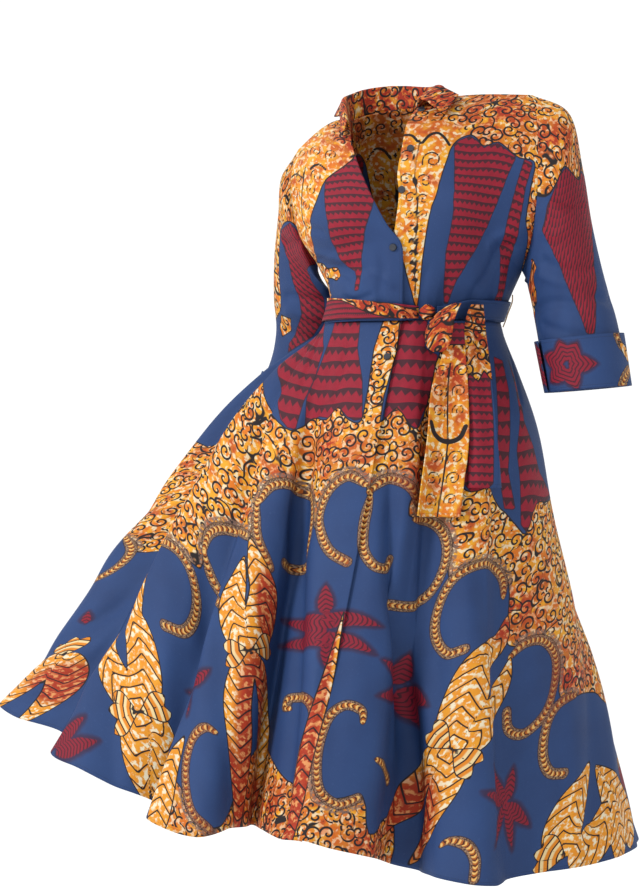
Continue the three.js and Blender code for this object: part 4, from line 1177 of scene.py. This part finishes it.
    # Ropes of chevrons.
    rope = n.attr("rope")
    link = n.cycle(n.attr("rope_v"), 8.0)
    strand = n.blend(n.mul(0.9, n.near(link, 0.5, 0.17, 0.08)), rgb("B85E0C"), rgb("FFCF78"))
    strand = n.blend(n.near(link, 0.1, 0.13, 0.06), strand, rgb("3A1408"))
    fleece = n.blend(n.step(n.noise(flat, 0.5, 3), 0.5, 0.1), rgb("40200E"), rgb("A9866A"))
    strand = n.blend(n.near(n.attr("rope_o"), 5.2, 1.9, 0.8), strand, fleece)
    strand = n.blend(n.mul(n.attr("deep"), 0.6), strand, rgb("8A2412"))
    colour = n.blend(n.rest(n.step(rope, 0.0, 0.5)), colour, strand)
    colour = n.blend(n.mul(n.near(rope, 0.3, 0.6, 0.5), 0.8), colour, rgb("2A1512"))

    # Feathers.
    leaf = n.attr("leaf")
    vein = n.cycle(n.attr("leaf_v"), 19.0)
    fleck = n.mul(n.step(vein, 0.35, 0.2), n.step(n.noise(flat, 0.13, 3), 0.535, 0.05))
    web = n.blend(fleck, n.blend(mottle, rgb("EE8410"), rgb("FDB62C")), rgb("FFF2D0"))
    hot = n.blend(fleck, n.blend(mottle, rgb("9C2008"), rgb("CF4414")), rgb("F2A060"))
    web = n.blend(n.step(n.attr("deep"), 0.45, 0.2), web, hot)
    web = n.blend(n.near(vein, 0.1, 0.07, 0.03), web, DARK)
    web = n.blend(n.rest(n.step(n.attr("leaf_e"), 1.6, 0.5)), web, DARK)
    colour = n.blend(n.rest(n.step(leaf, 0.0, 0.4)), colour, web)
    colour = n.blend(n.near(leaf, 0.0, 0.9, 0.4), colour, DARK)
    petal = n.attr("petal")
    shell = n.cycle(n.attr("petal_v"), 13.0)
    lobe = n.blend(n.step(shell, 0.62, 0.1), rgb("F09018"), rgb("FDE3A8"))
    lobe = n.blend(n.mul(n.attr("deep"), 0.6), lobe, rgb("9A2408"))
    lobe = n.blend(n.near(shell, 0.1, 0.09, 0.03), lobe, DARK)
    lobe = n.blend(n.rest(n.step(n.attr("petal_e"), 1.4, 0.5)), lobe, DARK)
    colour = n.blend(n.rest(n.step(petal, 0.0, 0.4)), colour, lobe)
    colour = n.blend(n.near(petal, 0.0, 0.8, 0.4), colour, DARK)

    # Stitch line inside the finished edges.
    run = n.near(n.attr("edge"), 4.5, 0.35, 0.25)
    dash = n.step(n.cycle(n.m("ADD", s, h), 3.0), 0.35, 0.1)
    colour = n.blend(n.mul(n.mul(run, dash), 0.5), colour, rgb("101522"))
    colour = n.blend(0.44, colour, rgb("000000"))

    n.feed(n.shader.inputs["Base Color"], colour)
    n.shader.inputs["Roughness"].default_value = 0.68
    n.shader.inputs["Specular IOR Level"].default_value = 0.28
    weave = n.put("ShaderNodeTexWave")
    n.feed(weave.inputs["Vector"], flat)
    weave.inputs["Scale"].default_value = 0.55
    across = n.put("ShaderNodeTexWave")
    across.bands_direction = "Y"
    n.feed(across.inputs["Vector"], flat)
    across.inputs["Scale"].default_value = 0.55
    height = n.m("ADD", n.m("ADD", weave.outputs["Fac"], across.outputs["Fac"]), n.mul(run, -2.0))
    bump = n.put("ShaderNodeBump")
    bump.inputs["Strength"].default_value = 0.35
    bump.inputs["Distance"].default_value = 0.0002
    n.feed(bump.inputs["Height"], height)
    n.feed(n.shader.inputs["Normal"], bump.outputs[0])
    return n.material


def plain_material(name, low, high, scale, roughness):
    n = Net(name)
    place = n.put("ShaderNodeTexCoord").outputs["Object"]
    colour = n.blend(n.noise(place, scale, 3), rgb(low), rgb(high))
    n.feed(n.shader.inputs["Base Color"], colour)
    n.shader.inputs["Roughness"].default_value = roughness
    return n.material


CLOTH = {
    "skirt": printed_cloth("wax_print_skirt", 22.0, 13.0),
    "front_left": printed_cloth("wax_print_bodice", 12.5, 8.5),
    "sleeve": printed_cloth("wax_print_sleeve", 11.5, 8.0),
}
CLOTH["sash_right"] = printed_cloth("wax_print_sash", 7.5, 3.4)

# ------------------------------------------------------------------ pieces


def edge_distance(p, closed):
    """Distance along the cloth to the nearest finished edge, in millimetres."""
    step_u = np.linalg.norm(np.diff(p, axis=1), axis=-1)
    along = np.concatenate([np.zeros((p.shape[0], 1)), np.cumsum(step_u, 1)], 1)
    step_v = np.linalg.norm(np.diff(p, axis=0), axis=-1)
    down = np.concatenate([np.zeros((1, p.shape[1])), np.cumsum(step_v, 0)], 0)
    sides = {"left": along, "right": along[:, -1:] - along, "first": down, "last": down[-1:] - down}
    found = np.full(p.shape[:2], 900.0)
    for key in closed:
        found = np.minimum(found, sides[key])
    return found


def outward_sign(name, p):
    n = normals(p)
    if name.startswith("sleeve") or name.startswith("cuff") or name == "sash_loop":
        axis = p.mean(axis=1, keepdims=True) if name != "sash_loop" else p.mean(axis=(0, 1), keepdims=True)
        away = p - axis
    elif name == "collar":
        away = p - np.array([-10.0, 10.0, 20.0])
    elif name.startswith("sash_tail"):
        away = np.broadcast_to(np.array([0.0, -1.0, 0.0]), p.shape)
    else:
        away = p - np.array([10.0, 8.0, 0.0])
        away = away * np.array([1.0, 1.0, 0.0])
    return 1.0 if np.mean(np.sum(n * away, -1)) > 0 else -1.0


def cloth_mesh(name, p, s, h, fields, edges, material):
    rows, cols = p.shape[:2]
    mesh = bpy.data.meshes.new(name)
    index = np.arange(rows * cols).reshape(rows, cols)
    quads = np.stack([index[:-1, :-1], index[:-1, 1:], index[1:, 1:], index[1:, :-1]], -1).reshape(-1, 4)
    points = p / 1000.0
    a, b, d = (points.reshape(-1, 3)[quads[:, k]] for k in (0, 1, 3))
    facing = np.cross(b - a, d - a)
    want = (normals(p) * outward_sign(name, p))[:-1, :-1].reshape(-1, 3)
    if np.sum(facing * want) < 0:
        quads = quads[:, ::-1]
    mesh.vertices.add(rows * cols)
    mesh.vertices.foreach_set("co", points.astype(np.float32).ravel())
    mesh.loops.add(quads.size)
    mesh.loops.foreach_set("vertex_index", quads.astype(np.int32).ravel())
    mesh.polygons.add(len(quads))
    mesh.polygons.foreach_set("loop_start", np.arange(0, quads.size, 4, dtype=np.int32))
    mesh.update(calc_edges=True)
    mesh.polygons.foreach_set("use_smooth", np.ones(len(quads), bool))
    for key, values in {**fields, "edge": edge_distance(p, edges)}.items():
        layer = mesh.attributes.new(key, "FLOAT", "POINT")
        layer.data.foreach_set("value", np.broadcast_to(values, p.shape[:2]).astype(np.float32).ravel())
    u = (s - s.min()) / (s.max() - s.min())
    v = (h - h.min()) / (h.max() - h.min())
    uv = mesh.uv_layers.new(name="OFBake")
    both = np.stack([u, v], -1).reshape(-1, 2)[quads.ravel()]
    uv.data.foreach_set("uv", both.astype(np.float32).ravel())
    mesh.materials.append(material)
    piece = bpy.data.objects.new("cloth_" + name, mesh)
    bpy.context.scene.collection.objects.link(piece)
    wall = piece.modifiers.new("wall", "SOLIDIFY")
    wall.thickness = 0.0016
    wall.offset = -1
    return piece


EDGES = {
    "bodice_front_right": ["left", "right"], "bodice_front_left": ["left", "right"], "bodice_back": [],
    "sleeve_right": [], "sleeve_left": [], "cuff_right": ["first", "last"], "cuff_left": ["first", "last"],
    "skirt_front_right": ["first", "last"], "skirt_front_left": ["first", "last"],
    "skirt_back_left": ["first", "last"], "skirt_back_right": ["first", "last"],
    "collar": ["left", "right", "first", "last"], "sash_loop": ["first", "last"],
}


def creased(name, p, s, h):
    """The panel with its creases, which fade out at its sewn and lapped edges."""
    chart = "front_left" if name == "bodice_back" else CHARTS[name]
    if chart not in CREASES:
        return p
    if name.startswith("sleeve"):
        depth = crease_depth(chart, repeated(s, SLEEVE_REPEAT[name]), h)
        depth *= smooth(edge_distance(p, ["first"]) / 30) * smooth(edge_distance(p, ["last"]) / 10)
    elif chart == "skirt":
        depth = crease_depth(chart, s, h) * smooth(-h / 14)
        depth *= smooth(edge_distance(p, ["left", "right"]) / 26)
    else:
        depth = crease_depth(chart, np.abs(s) if name == "bodice_back" else s, h)
        depth *= smooth(edge_distance(p, ["left", "right", "first"]) / 22)
    return p + normals(p) * col(outward_sign(name, p) * depth)


for name, (p, s, h) in PANELS.items():
    chart = CHARTS[name]
    fields = print_fields(name, s, h)
    p = creased(name, p, s, h)
    if name.startswith("sleeve"):
        fields["h"] = -along_rows(p, False)
    inked = chart in ("front_left", "front_right", "tail_inner")
    fields["inked"] = np.full(s.shape, 1.0 if inked else 0.0)
    look = "skirt" if chart == "skirt" else "sash_right" if name == "sash_right" else "front_left"
    if name.startswith("sleeve"):
        look = "sleeve"
    piece = cloth_mesh(name, p, s, h, fields, EDGES.get(name, ["first", "last"]), CLOTH[look])
    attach(piece, "root")
    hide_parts(name)

# Sash knot: a tight lump with wrapped creases.
u, v = grid(96, 60)
turn, tilt = PI2 * u, math.pi * (v - 0.5)
ball = np.stack([np.cos(tilt) * np.cos(turn), -np.cos(tilt) * np.sin(turn), np.sin(tilt)], -1)
wrap_line = np.sin(5 * ball[..., 0] + 3 * ball[..., 2]) * 0.05
wrap_line += 0.03 * np.sin(9 * ball[..., 2] - 4 * ball[..., 0])
knot = ball * col(0.96 + wrap_line) * np.array([12.0, 9.0, 11.5]) + KNOT
knot_s, knot_h = 48 * u, 36 * v
fields = print_fields("sash_loop", knot_s, knot_h)
fields["inked"] = np.zeros(u.shape)
piece = cloth_mesh("sash_knot", knot, knot_s, knot_h, fields, [], CLOTH["front_left"])
piece.modifiers.clear()
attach(piece, "root")
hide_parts("sash_knot")

BUTTON_LOOK = plain_material("dark_horn", "14161C", "2B2F3A", 300.0, 0.35)
THREAD_LOOK = plain_material("tan_thread", "9C7A50", "C4A070", 900.0, 0.8)


def dressed(node_name, material):
    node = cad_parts[node_name]
    node.data.materials.clear()
    node.data.materials.append(material)


dressed("belt_loop_left", THREAD_LOOK)
for node_name in ("button_neck", "button_upper", "button_chest", "button_fastened", "button_skirt"):
    dressed(node_name, BUTTON_LOOK)

# ------------------------------------------------------------------ stage, light and camera

FLOOR_Z = -1.5
floor_mesh = bpy.data.meshes.new("floor")
corners = [(x, y, FLOOR_Z) for x, y in ((-30, -30), (30, -30), (30, 30), (-30, 30))]
floor_mesh.from_pydata(corners, [], [(0, 1, 2, 3)])
floor = bpy.data.objects.new("floor", floor_mesh)
bpy.context.scene.collection.objects.link(floor)
floor_look = Net("pale_floor")
floor_look.shader.inputs["Base Color"].default_value = (0.96, 0.96, 0.96, 1)
floor_look.shader.inputs["Roughness"].default_value = 0.9
floor_mesh.materials.append(floor_look.material)

world = bpy.data.worlds.new("studio")
bpy.context.scene.world = world
world.use_nodes = True
world.node_tree.nodes["Background"].inputs[0].default_value = (1, 1, 1, 1)
world.node_tree.nodes["Background"].inputs[1].default_value = 1.08


def lamp(name, place, aim, size, watts):
    light = bpy.data.lights.new(name, "AREA")
    light.shape = "DISK"
    light.size = size
    light.energy = watts
    holder = bpy.data.objects.new(name, light)
    holder.location = place
    holder.rotation_euler = (Vector(aim) - Vector(place)).to_track_quat("-Z", "Y").to_euler()
    bpy.context.scene.collection.objects.link(holder)


lamp("key", (-3.2, -2.3, 1.6), (0, 0, -0.4), 1.1, 155)
lamp("fill", (2.8, -3.0, 0.4), (0, 0, -0.5), 2.2, 10)
bpy.context.scene.view_settings.view_transform = "Standard"

lens = bpy.data.cameras.new("camera")
lens.lens = 111.2
lens.sensor_width = 36
camera = bpy.data.objects.new("camera", lens)
camera.location = (-0.113, -4.0, -0.458)
camera.rotation_euler = (math.pi / 2, 0, 0)
bpy.context.scene.collection.objects.link(camera)
bpy.context.scene.camera = camera
